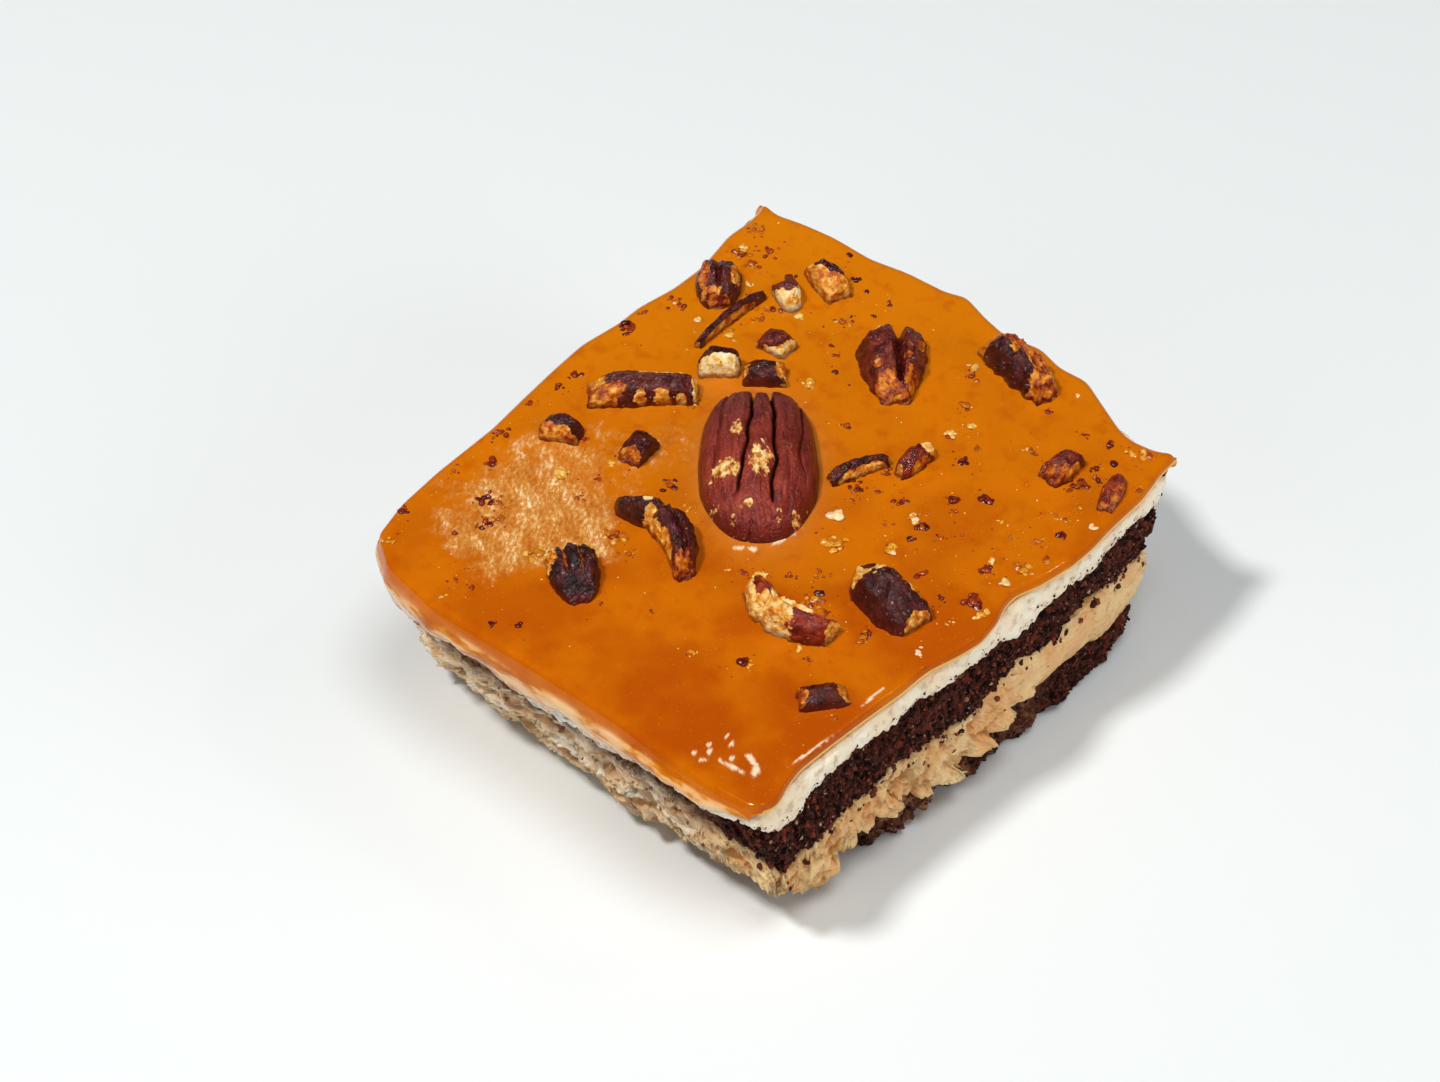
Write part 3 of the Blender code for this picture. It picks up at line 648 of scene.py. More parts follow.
glazeTop = 31.0
half = {"x": 0.6, "y": 1.0, "length": 30.0, "width": 17.0, "height": 7.2, "turn": 44.2}
nuts = {  # x, y, length, width, height, turn, bend, taper
    "piece_long": (0.4, 22.6, 16.4, 6.2, 4.4, -46, 0.8, -0.12),
    "piece_crescent": (-19.4, 1.2, 14.6, 5.2, 4.8, 77, -2.4, 0.0),
    "piece_dark": (-31.6, 5.0, 9.0, 7.4, 4.6, 55, 0.0, 0.15),
    "piece_curl": (-17.0, -21.4, 14.2, 5.4, 4.6, -88, -2.0, 0.0),
    "piece_broad": (-6.6, -29.6, 11.6, 7.8, 5.2, 82, 0.3, -0.1),
    "piece_forked": (28.4, 1.0, 14.0, 9.4, 5.0, 46, 0.0, 0.38),
    "piece_edge": (39.8, -12.8, 12.8, 6.6, 5.6, 79, -0.6, 0.0),
    "piece_back": (24.2, 31.2, 8.0, 6.8, 4.2, 44, 0.0, 0.1),
    "piece_bark": (20.0, 24.7, 14.2, 1.8, 2.4, 2, 0.3, 0.0),
    "piece_pale": (11.6, 18.8, 5.4, 4.4, 3.6, -46, 0.3, 0.0),
    "piece_stub": (14.8, 12.8, 5.8, 4.4, 3.4, -50, 0.2, 0.0),
    "piece_block": (20.6, 16.2, 4.6, 4.0, 3.0, -80, 0.0, 0.0),
    "piece_cream": (29.4, 22.2, 4.8, 3.9, 3.4, 60, 0.0, 0.2),
    "piece_shell": (35.6, 20.0, 7.4, 4.8, 3.2, 72, 0.0, 0.0),
    "piece_wedge": (29.0, -30.2, 6.4, 4.4, 3.0, -5, 0.0, -0.2),
    "piece_pane": (29.6, -38.4, 6.6, 3.2, 2.2, 21, 0.0, 0.0),
    "piece_blade": (9.4, -9.8, 8.8, 3.0, 2.4, -21, 0.3, -0.1),
    "piece_tip": (16.2, -14.4, 6.4, 3.6, 2.8, 0, 0.2, 0.0),
    "piece_bar": (-25.8, -35.2, 6.6, 3.6, 3.2, -37, 0.0, 0.0),
    "piece_shard": (-8.4, 15.4, 4.6, 4.0, 3.2, 10, 0.0, 0.0),
    "piece_knob": (-13.4, 26.0, 5.6, 4.0, 3.2, -60, 0.2, 0.0),
}


# caramel: a fine grid for its top, drawn out to the cake's outline, and its edge extruded down

glaze = {
    "front": ((-41.6, -42.4), (-39.2, -41.4), (-35.8, -40.6), (-31.0, -40.6), (-24.6, -40.8),
              (-17.0, -41.2), (-11.4, -41.1), (-6.4, -42.3), (-2.6, -42.8), (1.4, -42.0), (4.6, -40.7),
              (7.2, -40.5), (10.6, -41.6), (16.6, -42.4), (21.0, -42.3), (25.4, -41.7), (33.0, -41.2),
              (38.6, -39.9)),
    "right": ((43.4, -39.4), (41.6, -36.4), (41.0, -32.6), (41.6, -30.0), (44.2, -24.4), (46.2, -20.2),
              (45.8, -15.6), (47.0, -11.0), (45.8, -5.0), (46.6, -1.0), (48.2, 4.2), (47.0, 7.2),
              (46.4, 14.0), (45.0, 20.0), (44.9, 27.4), (44.0, 33.0), (42.9, 37.0)),
    "back": ((43.6, 41.4), (42.2, 39.6), (38.6, 39.0), (34.2, 39.0), (29.6, 37.8), (26.4, 37.0), (20.3, 36.8),
             (14.0, 37.6), (9.6, 37.3), (2.6, 37.9), (-3.9, 37.1), (-10.8, 36.0), (-18.2, 34.7),
             (-29.7, 33.9), (-37.5, 32.8)),
    "left": ((-44.2, 30.6), (-47.6, 25.0), (-48.8, 16.0), (-48.1, 4.8), (-47.3, -6.2),
             (-46.8, -17.8), (-46.9, -26.5), (-46.7, -34.9), (-45.8, -41.0), (-43.2, -42.6)),
    "corners": ((-44.6, -42.4), (43.4, -39.4), (43.6, 41.4), (-44.6, 31.0)),
    "across": 300, "deep": 250, "sideRows": 14,  # how many faces each way
    "wide": 92, "long": 79,  # near enough to round its rim
    "edge": 28.5, "frontEdge": 29.6,  # how low its edge hangs, but for the left side
    "crinkleAndSheen": (-25.0, 18.5, 16.0, 13.0),  # the wrinkled patch, with a painted sheen: middle and half sizes
}
paintedGlints = (  # painted highlights, wet beads and lines painted pale and raised a little: x, y, half length, half width, turn
    (-42.1, -34.6, 1.8, 0.4, 100), (-40.6, -37.1, 1.2, 0.55, 30), (-39.5, -35.4, 1.1, 0.5, 70),
    (-41.0, -33.4, 0.6, 0.3, 0), (-42.4, -32.9, 0.5, 0.3, 80), (-43.8, -30.9, 0.6, 0.25, -40),
    (-42.2, -30.5, 0.6, 0.28, 30), (-39.3, -31.6, 0.6, 0.25, 20), (-38.8, -30.3, 0.6, 0.22, 0),
    (-41.3, -29.6, 0.4, 0.25, 0), (-43.7, -29.2, 0.4, 0.25, 0), (-33.2, -40.0, 4.0, 0.16, -3),
    (-20.6, -39.5, 2.4, 0.16, 2), (-12.5, -7.6, 0.8, 0.35, -50), (-11.5, -9.1, 0.8, 0.35, -60),
    (-8.0, -10.9, 1.5, 0.28, -8), (-5.6, -11.3, 0.7, 0.25, 0), (-27.4, -33.8, 0.5, 0.25, 60),
)
loopCount = 2 * (glaze["across"] + glaze["deep"])
glazeLoop = smoothLoop([Vector(spot) for side in ("front", "right", "back", "left")
                        for spot in glaze[side]], loopCount, 2)
cornerSteps = [min(range(loopCount), key=lambda step: (glazeLoop[step] - Vector(spot)).length)
               for spot in glaze["corners"]]


def glazeSide(start, end, count):
    picked = glazeLoop[start:end + 1] if end > start else glazeLoop[start:] + glazeLoop[:end + 1]
    return evenSteps(picked, count, closed=False)


nx, ny = glaze["across"], glaze["deep"]
frontLine = glazeSide(cornerSteps[0], cornerSteps[1], nx + 1)
rightLine = glazeSide(cornerSteps[1], cornerSteps[2], ny + 1)
backLine = glazeSide(cornerSteps[2], cornerSteps[3], nx + 1)[::-1]
leftLine = glazeSide(cornerSteps[3], cornerSteps[0], ny + 1)[::-1]
borderSteps = ([(i, 0) for i in range(nx)] + [(nx, j) for j in range(ny)]
               + [(i, ny) for i in range(nx, 0, -1)] + [(0, j) for j in range(ny, 0, -1)])


def gridSpot(i, j):  # a patch stretched between the four sides
    s, t = i / nx, j / ny
    between = frontLine[i] * (1 - t) + backLine[i] * t + leftLine[j] * (1 - s) + rightLine[j] * s
    corners = (frontLine[0] * (1 - s) * (1 - t) + frontLine[nx] * s * (1 - t)
               + backLine[0] * (1 - s) * t + backLine[nx] * s * t)
    return between - corners


borderNormals = dict(zip(borderSteps, outwards([gridSpot(i, j) for i, j in borderSteps])))


def nutReach(x, y, spot):  # about how far a point is from a nut's foot, in mm
    nutX, nutY, length, width, turn, bend = spot
    lengthwise, across = turnedTo(x, y, nutX, nutY, turn)
    across -= bend * (1 - 8 * (lengthwise / length) ** 2) if abs(lengthwise) < length else 0
    reach = math.hypot(lengthwise / (length / 2), across / (width / 2))
    return (reach - 1) * min(length, width) / 2


feet = [(half["x"], half["y"], half["length"], half["width"], half["turn"], 0.0)]
feet += [(x, y, length, width, turn, bend)
         for x, y, length, width, height, turn, bend, taper in nuts.values()]


# how much a point is wrinkled and painted with a paler sheen, 0 to 1
def crinkleAndSheenShare(x, y):
    middleX, middleY, reachX, reachY = glaze["crinkleAndSheen"]
    spread = ((x - middleX) / reachX) ** 2 + ((y - middleY) / reachY) ** 2
    patch = ease((1.5 - spread - 0.6 * ripple(x, y, 12.0, 8.0)) / 1.3)
    side = 0.55 * ease(1.1 - ((x + 7) / 9) ** 2 - ((y - 15) / 7) ** 2 + 0.4 * ripple(x, y, 14.0, 5.0))
    return max(patch, side) * (0.6 + 0.4 * ease((-18 - x) / 9))


# how strongly a painted highlight shows at a point, 0 to 1
def paintedGlintShare(x, y):
    share = 0.0
    for middleX, middleY, reachAlong, reachAcross, turn in paintedGlints:
        if abs(x - middleX) + abs(y - middleY) < 7:
            lengthwise, across = turnedTo(x, y, middleX, middleY, turn)
            spread = (lengthwise / reachAlong) ** 2 + (across / reachAcross) ** 2
            share = max(share, ease(1.3 - spread + 1.1 * ripple(x, y, 21.0, 0.7)))
    return share


def footClimb(x, y):  # how far the caramel has crept up a nut here, 0 to 1
    climb = 0.0
    for spot in feet:
        if abs(x - spot[0]) + abs(y - spot[1]) < spot[2] + 5:
            climb = max(climb, math.exp(-max(0.0, nutReach(x, y, spot)) / 0.45))
    return climb


def glazeHeight(x, y, i, j):
    height = glazeTop + 0.025 * ripple(x, y, 2.0, 30.0, 1) + 0.002 * ripple(x, y, 5.0, 4.0, 1)
    patch = crinkleAndSheenShare(x, y)
    if patch > 0:
        wrinkles = crests(x / 2.0, y / 1.5, 7.0, 4, 2.0, 0.9)
        height += patch * (0.016 * (wrinkles - 1.2) + 0.008 * ripple(x, y, 3.0, 1.1))
    height += 0.05 * paintedGlintShare(x, y)
    for pitX, pitY, reach, sunk in glazePits:
        height -= sunk * math.exp(-((x - pitX) ** 2 + (y - pitY) ** 2) / reach ** 2)
    height += 0.3 * footClimb(x, y)
    fromLeft, fromRight = i / nx * glaze["wide"], (1 - i / nx) * glaze["wide"]
    fromFront, fromBack = j / ny * glaze["long"], (1 - j / ny) * glaze["long"]
    sides = ((fromLeft, 1.6, 1.4), (fromRight, 1.8, 1.4), (fromFront, 1.3, 0.9), (fromBack, 1.8, 1.4))
    drops = [(max(0.0, 1 - away / reach), drop) for away, reach, drop in sides]
    together = min(1.0, math.hypot(*[share for share, drop in drops]))
    deepest = max(drops)[1]
    height -= deepest * (1 - math.sqrt(1 - together * together))
    return height + 0.12 * math.exp(-fromFront / 3.0) * (1 - together)


glazePits = (  # dips and low swellings: x, y, reach, depth
    (-31.6, 22.3, 1.6, 0.35), (-29.0, 25.6, 1.2, -0.25), (-8.5, -20.5, 1.4, 0.1), (-34.8, -16.0, 0.8, 0.08),
    (-12.0, -6.5, 1.0, 0.06), (18.0, -24.0, 0.9, 0.07), (12.5, 2.0, 0.8, 0.06), (35.0, 12.0, 1.2, -0.12),
)


def glazeSideSpot(i, j, row):
    (x, y), normal = gridSpot(i, j), borderNormals[(i, j)]
    start = glazeHeight(x, y, i, j)
    left, front = leftShare(y, normal), frontShare(normal)
    edge = glaze["edge"] + 0.35 * ripple(x, y, 4.0, 5.0)
    edge = mixed(edge, along(drapeEdge, y) + 0.6 * ripple(x, y, 9.0, 2.2), left)
    if front > 0.6:
        edge = glaze["frontEdge"] + 0.15 * ripple(x, y, 4.0, 6.0)
    last = glaze["sideRows"] - 3
    share = min(1.0, row / last)
    height = start + (edge - start) * share
    inside = -0.25 * math.sin(math.pi * share) * (1 - front)
    inside -= left * (0.7 * math.sin(math.pi * share * 0.9) + 0.5 * ripple(x, y, height, 4.0) * share)
    if row > last:
        under = row - last
        inside += (0.25, 0.9, 3.0)[under - 1]
        height += (-0.12, 0.05, 0.15)[under - 1]
    across, deep = planSpot(x, y, 0.0, height)
    return Vector((across - normal.x * inside, deep - normal.y * inside, height)) * mm


piece = startPiece("caramelGlaze", bpy.ops.mesh.primitive_grid_add, x_subdivisions=nx,
                   y_subdivisions=ny, size=2.0)
pickEdges(piece, lambda first, second: False)
bpy.ops.mesh.select_non_manifold(extend=False)
for row in range(glaze["sideRows"]):
    bpy.ops.mesh.extrude_region_move(TRANSFORM_OT_translate={"value": (0, 0, -1.0)})
bpy.ops.mesh.edge_face_add()
bpy.ops.object.mode_set(mode="OBJECT")
painting = {"thinDrapeAndReflection": [], "rim": [], "paintedReflectionRing": [], "crinkleAndSheen": [], "paintedGlint": []}
for vertex in piece.data.vertices:
    i, j = round((vertex.co.x + 1) / 2 * nx), round((vertex.co.y + 1) / 2 * ny)
    row = round(-vertex.co.z)
    if row == 0:
        x, y = gridSpot(i, j)
        vertex.co = Vector((x, y, glazeHeight(x, y, i, j))) * mm
        thinDrapeAndReflection, paintedReflectionRing = 0.0, math.exp(-max(0.0, nutReach(x, y, feet[0])) / 1.2)
    else:
        vertex.co = glazeSideSpot(i, j, row)
        share, paintedReflectionRing = row / glaze["sideRows"], 0.0
        thinDrapeAndReflection = ease(share * 9 - 0.4) if i == 0 else 0.0
    x, y = vertex.co.x / mm, vertex.co.y / mm
    rim = ease(row / 4) if j == 0 else 0.0
    for name, value in (("thinDrapeAndReflection", thinDrapeAndReflection), ("rim", rim), ("paintedReflectionRing", paintedReflectionRing), ("crinkleAndSheen", crinkleAndSheenShare(x, y)),
                        ("paintedGlint", paintedGlintShare(x, y) if row == 0 else 0.0)):
        painting[name].append(value)
for name, values in painting.items():
    paintPoints(piece, name, values)

caramel, caramelShader = newFinish("caramel", Roughness=0.2, Specular_IOR_Level=0.32,
                                   Subsurface_Weight=0.12, Subsurface_Scale=0.0018,
                                   Specular_Tint=(1.0, 0.82, 0.55, 1.0))
caramelShader.inputs["Subsurface Radius"].default_value = (1.0, 0.3, 0.05)
axes = axesOf(caramel)
farShare = rangeOf(caramel, sums(caramel, "ADD", axes["X"], axes["Y"]), -0.075, 0.075)
amber = blendOf(caramel, farShare, (178, 76, 1), (212, 120, 3))
amber = blendOf(caramel, grain(caramel, 15.0, 0.38, 0.62), amber, (212, 116, 2), 0.6)
amber = blendOf(caramel, grain(caramel, 3.0, 0.5, 0.72, 4.0), amber, (180, 74, 1), 0.45)
amber = blendOf(caramel, grain(caramel, 0.5, 0.62, 0.72), amber, (236, 160, 40), 0.25)
amber = blendOf(caramel, grain(caramel, 0.42, 0.68, 0.74, 3.0, turn=50), amber, (150, 58, 2), 0.5)
# painted reflection: paler caramel in a ring round the half's foot
amber = blendOf(caramel, painted(caramel, "paintedReflectionRing"), amber, (206, 140, 84), 0.2)
fine = grain(caramel, 0.5, 0.28, 0.72, 4.0, stretch=(0.5, 1.0, 1.0), rough=0.7, turn=35)
swirl = grain(caramel, 2.4, 0.25, 0.75, 3.0, stretch=(0.4, 1.0, 1.0), turn=60)
fine = sums(caramel, "ADD", sums(caramel, "MULTIPLY", fine, 0.55), sums(caramel, "MULTIPLY", swirl, 0.45))
# painted sheen: a paler, speckled caramel over the wrinkled patch
paintedSheenTone = ramp(caramel, fine, (0.15, (176, 96, 24)), (0.4, (200, 126, 50)), (0.58, (212, 146, 72)),
             (0.74, (236, 188, 122)), (0.9, (255, 240, 208)))
paintedSheenShare = rangeOf(caramel, sums(caramel, "ADD", painted(caramel, "crinkleAndSheen"),
                                 sums(caramel, "MULTIPLY", grain(caramel, 1.6, 0.25, 0.75, 4.0), 0.55)),
                   0.35, 1.15, 0.0, 0.9)
paintedSheenShare = sums(caramel, "MULTIPLY", paintedSheenShare, rangeOf(caramel, painted(caramel, "crinkleAndSheen"), 0.0, 0.25))
amber = blendOf(caramel, paintedSheenShare, amber, paintedSheenTone)
# the caramel drape on the left face: thin caramel, with a painted reflection making it pale and peach
drapeAndReflectionTone = ramp(caramel, grain(caramel, 2.6, 0.3, 0.7, 3.0, stretch=(1, 0.4, 1.4)), (0.0, (238, 194, 140)),
                 (0.45, (226, 168, 104)), (0.58, (214, 140, 50)), (0.76, (196, 108, 12)),
                 (1.0, (176, 84, 4)))
amber = blendOf(caramel, painted(caramel, "thinDrapeAndReflection"), amber, drapeAndReflectionTone)
amber = blendOf(caramel, painted(caramel, "rim"), amber, (248, 184, 60))
# painted highlights: pale glints on the caramel
amber = blendOf(caramel, painted(caramel, "paintedGlint"), amber, (255, 236, 196), 0.8)
connect(caramel, amber, caramelShader, "Base Color")
connect(caramel, rangeOf(caramel, painted(caramel, "crinkleAndSheen"), 0.0, 1.0, 0.1, 0.3), caramelShader,
        "Roughness")
wrinkle = sums(caramel, "ADD", fine, grain(caramel, 1.4, 0.3, 0.7))
wrinkle = sums(caramel, "MULTIPLY", wrinkle, painted(caramel, "crinkleAndSheen"))
addBump(caramel, caramelShader, wrinkle, 0.06, 0.9)
finishPiece(piece, caramel, "caramel", "caramel")


# pecan half: a sphere drawn out lengthwise, with its clefts pressed in

half.update({"around": 360, "rings": 180, "cleft": 2.8, "buried": 0.9, "blunt": 2.9, "furrow": 0.1})
clefts = (  # depth share, where it lies across from near end to far end, half width, start, end, fade
    (1.0, ((-0.78, -0.54), (-0.52, -0.33), (-0.26, -0.25), (0.04, -0.16), (0.4, -0.1), (1.0, -0.05)),
     0.016, -0.86, 1.4, 0.6),
    (1.0, ((-0.7, 0.2), (-0.53, 0.19), (-0.16, 0.26), (0.42, 0.25), (1.0, 0.22)), 0.017, -0.74, 1.4, 0.14),
    (0.62, ((-1.0, -0.2), (-0.8, -0.12)), 0.015, -1.4, -0.72, 0.1),
    (0.42, ((-0.36, 0.72), (-0.12, 0.65), (0.2, 0.72), (0.7, 0.66)), 0.016, -0.5, 1.0, 0.3),
    (0.36, ((-0.15, -0.69), (0.4, -0.57), (0.9, -0.44)), 0.016, -0.36, 1.0, 0.3),
    (0.2, ((-1.0, 0.4), (-0.5, 0.48), (-0.1, 0.46)), 0.030, -0.98, -0.1, 0.3),
    (0.18, ((-0.95, -0.5), (-0.5, -0.66), (-0.2, -0.82)), 0.030, -0.98, -0.18, 0.3),
    (0.14, ((-0.9, 0.1), (-0.4, 0.02)), 0.026, -0.95, -0.38, 0.25),
    (0.12, ((-0.9, 0.68), (-0.3, 0.86)), 0.026, -0.92, -0.1, 0.3),
    (0.12, ((0.0, 0.47), (0.9, 0.44)), 0.030, -0.05, 1.0, 0.35),
    (0.12, ((0.0, -0.38), (0.9, -0.27)), 0.030, 0.0, 1.0, 0.35),
)
scuffs = (  # bare pale patches: across, along, half sizes, strength
    (-0.52, -0.31, 0.26, 0.1, 1.0), (0.03, -0.27, 0.17, 0.17, 1.0), (-0.21, -0.72, 0.1, 0.035, 0.9),
    (-0.33, 0.12, 0.1, 0.08, 0.7), (0.58, -0.77, 0.08, 0.08, 0.7), (-0.7, -0.62, 0.08, 0.04, 0.5),
    (0.3, -0.8, 0.05, 0.06, 0.4), (-0.42, -0.8, 0.05, 0.05, 0.4),
)


def cleftAt(across, lengthwise):
    deepest = 0.0
    for depth, line, width, start, end, reach in clefts:
        if start < lengthwise < end:
            fade = ease((lengthwise - start) / reach) * ease((end - lengthwise) / 0.3)
            opened = width * (0.7 + 0.3 * fade + 0.9 * max(0.0, lengthwise) ** 3)
            away = (across - along(line, lengthwise) - 0.012 * ripple(lengthwise, depth, 6.0, 0.12)) / opened
            narrow, broad = math.exp(-abs(away) ** 2.2 / 1.4), math.exp(-(away / 5.0) ** 2)
            deepest = max(deepest, depth * fade * (0.76 * narrow + 0.24 * broad))
    return deepest


def bluntness(lengthwise, across, power):
    reach = math.hypot(lengthwise, across)
    if reach < 0.001:
        return 1.0
    return (abs(lengthwise / reach) ** power + abs(across / reach) ** power) ** (-1 / power)


def layDown(piece, x, y, turn, height=glazeTop):  # from its own frame to its place on the cake
    bpy.ops.object.mode_set(mode="EDIT")
    bpy.ops.mesh.select_all(action="SELECT")
    bpy.ops.transform.translate(value=(x * mm, y * mm, height * mm))
    bpy.ops.object.mode_set(mode="OBJECT")
    middle = Vector((x, y, 0)) * mm
    spin = Matrix.Rotation(math.radians(turn), 4, "Z")
    piece.data.transform(Matrix.Translation(middle) @ spin @ Matrix.Translation(-middle))


def lengthwiseSphere(name, around, rings):  # a unit sphere with its poles along X
    piece = startPiece(name, bpy.ops.mesh.primitive_uv_sphere_add, segments=around,
                       ring_count=rings, radius=1.0)
    bpy.ops.object.mode_set(mode="EDIT")
    bpy.ops.mesh.select_all(action="SELECT")
    bpy.ops.transform.rotate(value=math.pi / 2, orient_axis="Y", center_override=(0, 0, 0))
    bpy.ops.object.mode_set(mode="OBJECT")
    return piece


piece = lengthwiseSphere("pecanHalf", half["around"], half["rings"])
bare, paintedCleftShade = [], []
for vertex in piece.data.vertices:
    lengthwise, left, up = vertex.co
    across = -left  # the clefts and scuffs count from left to right as it is seen
    out = bluntness(lengthwise, across, half["blunt"] - 0.7 * ease(-lengthwise * 1.5))
    narrow = 1.0 - 0.1 * max(0.0, lengthwise)
    cleft = cleftAt(across, lengthwise)
    lobe = math.exp(-((across - 0.1) / 0.14) ** 2) * max(0.0, lengthwise) ** 5
    shorter = 1.0 - 0.05 * cleft * max(0.0, lengthwise) ** 4 - 0.07 * lobe
    rough = 0.2 * ripple(lengthwise * 5, across * 12, up * 3, 2.2) * (1 - cleft)
    rough += 0.09 * ripple(lengthwise * 9, across * 48, 4.0, 4.0)
    rough += 0.05 * ripple(lengthwise * 15, across * 9, up * 7, 0.7)
    furrow = ease((crests(lengthwise * 1.7, across * 8, 3.0) - 1.35) / 0.8)
    rough -= half["furrow"] * furrow
    crack = 0.5 * math.exp(-((lengthwise + 0.22 - 0.15 * (across + 0.2)) / 0.022) ** 2)
    crack *= ease((0.06 - across) / 0.1) * ease((across + 0.26) / 0.08) * ease(up * 3)
    mark = 0.0
    for placeAcross, placeAlong, wide, far, strength in scuffs:
        spread = ((across - placeAcross) / wide) ** 2 + ((lengthwise - placeAlong) / far) ** 2
        spread += 1.2 * ripple(lengthwise * 15, across * 9, 1.0, 0.9)
        mark = max(mark, strength * ease((1.15 - spread) / 0.35))
    mark *= 1 - ease(cleft * 2.5)
    bare.append(mark)
    # how strong the painted shade of the clefts, the crack and the furrows is
    paintedCleftShade.append(max(cleft, crack, 0.42 * furrow))
    deep = half["cleft"] * cleft * max(0.0, up) ** 0.5
    vertex.co = Vector((
        lengthwise * out * shorter * half["length"] / 2,
        left * out * narrow * half["width"] / 2 + 0.12 * ripple(lengthwise * 8, across * 6, 9.0, 3.0),
        up * (half["height"] + rough * 2.2) - deep - crack * 0.8 - 0.12 * mark,
    )) * mm
paintPoints(piece, "bare", bare)
paintPoints(piece, "cleft", paintedCleftShade)
pickFaces(piece, lambda face: True)
bpy.ops.mesh.bisect(plane_co=(0, 0, half["buried"] * mm), plane_no=(0, 0, -1), clear_outer=True,
                    use_fill=True)
bpy.ops.object.mode_set(mode="OBJECT")
layDown(piece, half["x"], half["y"], half["turn"], glazeTop + 0.3 - half["buried"])

skin, skinShader = newFinish("pecan skin", Roughness=0.5, Specular_IOR_Level=0.35)
brown = blendOf(skin, grain(skin, 5.0, 0.3, 0.7), (126, 36, 24), (160, 60, 44))
axes = axesOf(skin)
farShare = rangeOf(skin, sums(skin, "ADD", axes["X"], axes["Y"]), -0.004, 0.020)
brown = blendOf(skin, farShare, brown, (116, 48, 46))
# painted shade: the half's right side darker, away from the key lamp
paintedShadeSide = rangeOf(skin, sums(skin, "SUBTRACT", axes["X"], axes["Y"]), 0.002, 0.012)
brown = blendOf(skin, paintedShadeSide, brown, (96, 26, 20), 0.6)
streaks = grain(skin, 0.8, 0.45, 0.7, 4.0, stretch=(0.22, 1.0, 1.0), turn=half["turn"])
brown = blendOf(skin, streaks, brown, (80, 18, 14), 0.7)
brown = blendOf(skin, grain(skin, 0.35, 0.6, 0.74), brown, (206, 112, 84), 0.45)
# painted shade: near black in the clefts, crack and furrows
brown = blendOf(skin, rangeOf(skin, painted(skin, "cleft"), 0.2, 0.75), brown, (48, 12, 6))
# darker at the foot: soaked in caramel, and painted contact shade
wetAndShadedFoot = rangeOf(skin, axes["Z"], 0.0345, 0.0318)
brown = blendOf(skin, wetAndShadedFoot, brown, (84, 8, 4), 0.7)
flesh = ramp(skin, grain(skin, 0.9, 0.3, 0.7, 4.0), (0.0, (255, 236, 176)), (0.4, (240, 190, 104)),
             (0.7, (206, 120, 50)), (1.0, (110, 40, 20)))
raggedBare = sums(skin, "ADD", painted(skin, "bare"), grain(skin, 0.7, 0.2, 0.8, 4.0))
connect(skin, blendOf(skin, rangeOf(skin, raggedBare, 0.85, 1.05), brown, flesh), skinShader, "Base Color")
connect(skin, rangeOf(skin, axes["Z"], 0.0318, 0.0345, 0.08, 0.32), skinShader, "Roughness")
bumps = sums(skin, "ADD", grain(skin, 0.4, 0.2, 0.8, 4.0), streaks)
addBump(skin, skinShader, bumps, 0.14, 0.9)
finishPiece(piece, skin, "pecan", "pecan_half")


# broken pecans: a ribbed lump with its ends broken off, and skin torn from the pale flesh

def facetsFor(number):  # a few flat faces where each piece was broken or pressed, the same each run
    draw, facets = random.Random(number + 40), []
    for turn in range(7):
        angle = 51 * turn + draw.uniform(-22, 22)
        facets.append((angle, draw.uniform(0.68, 0.84), draw.uniform(12, 62), None))
    return tuple(facets)


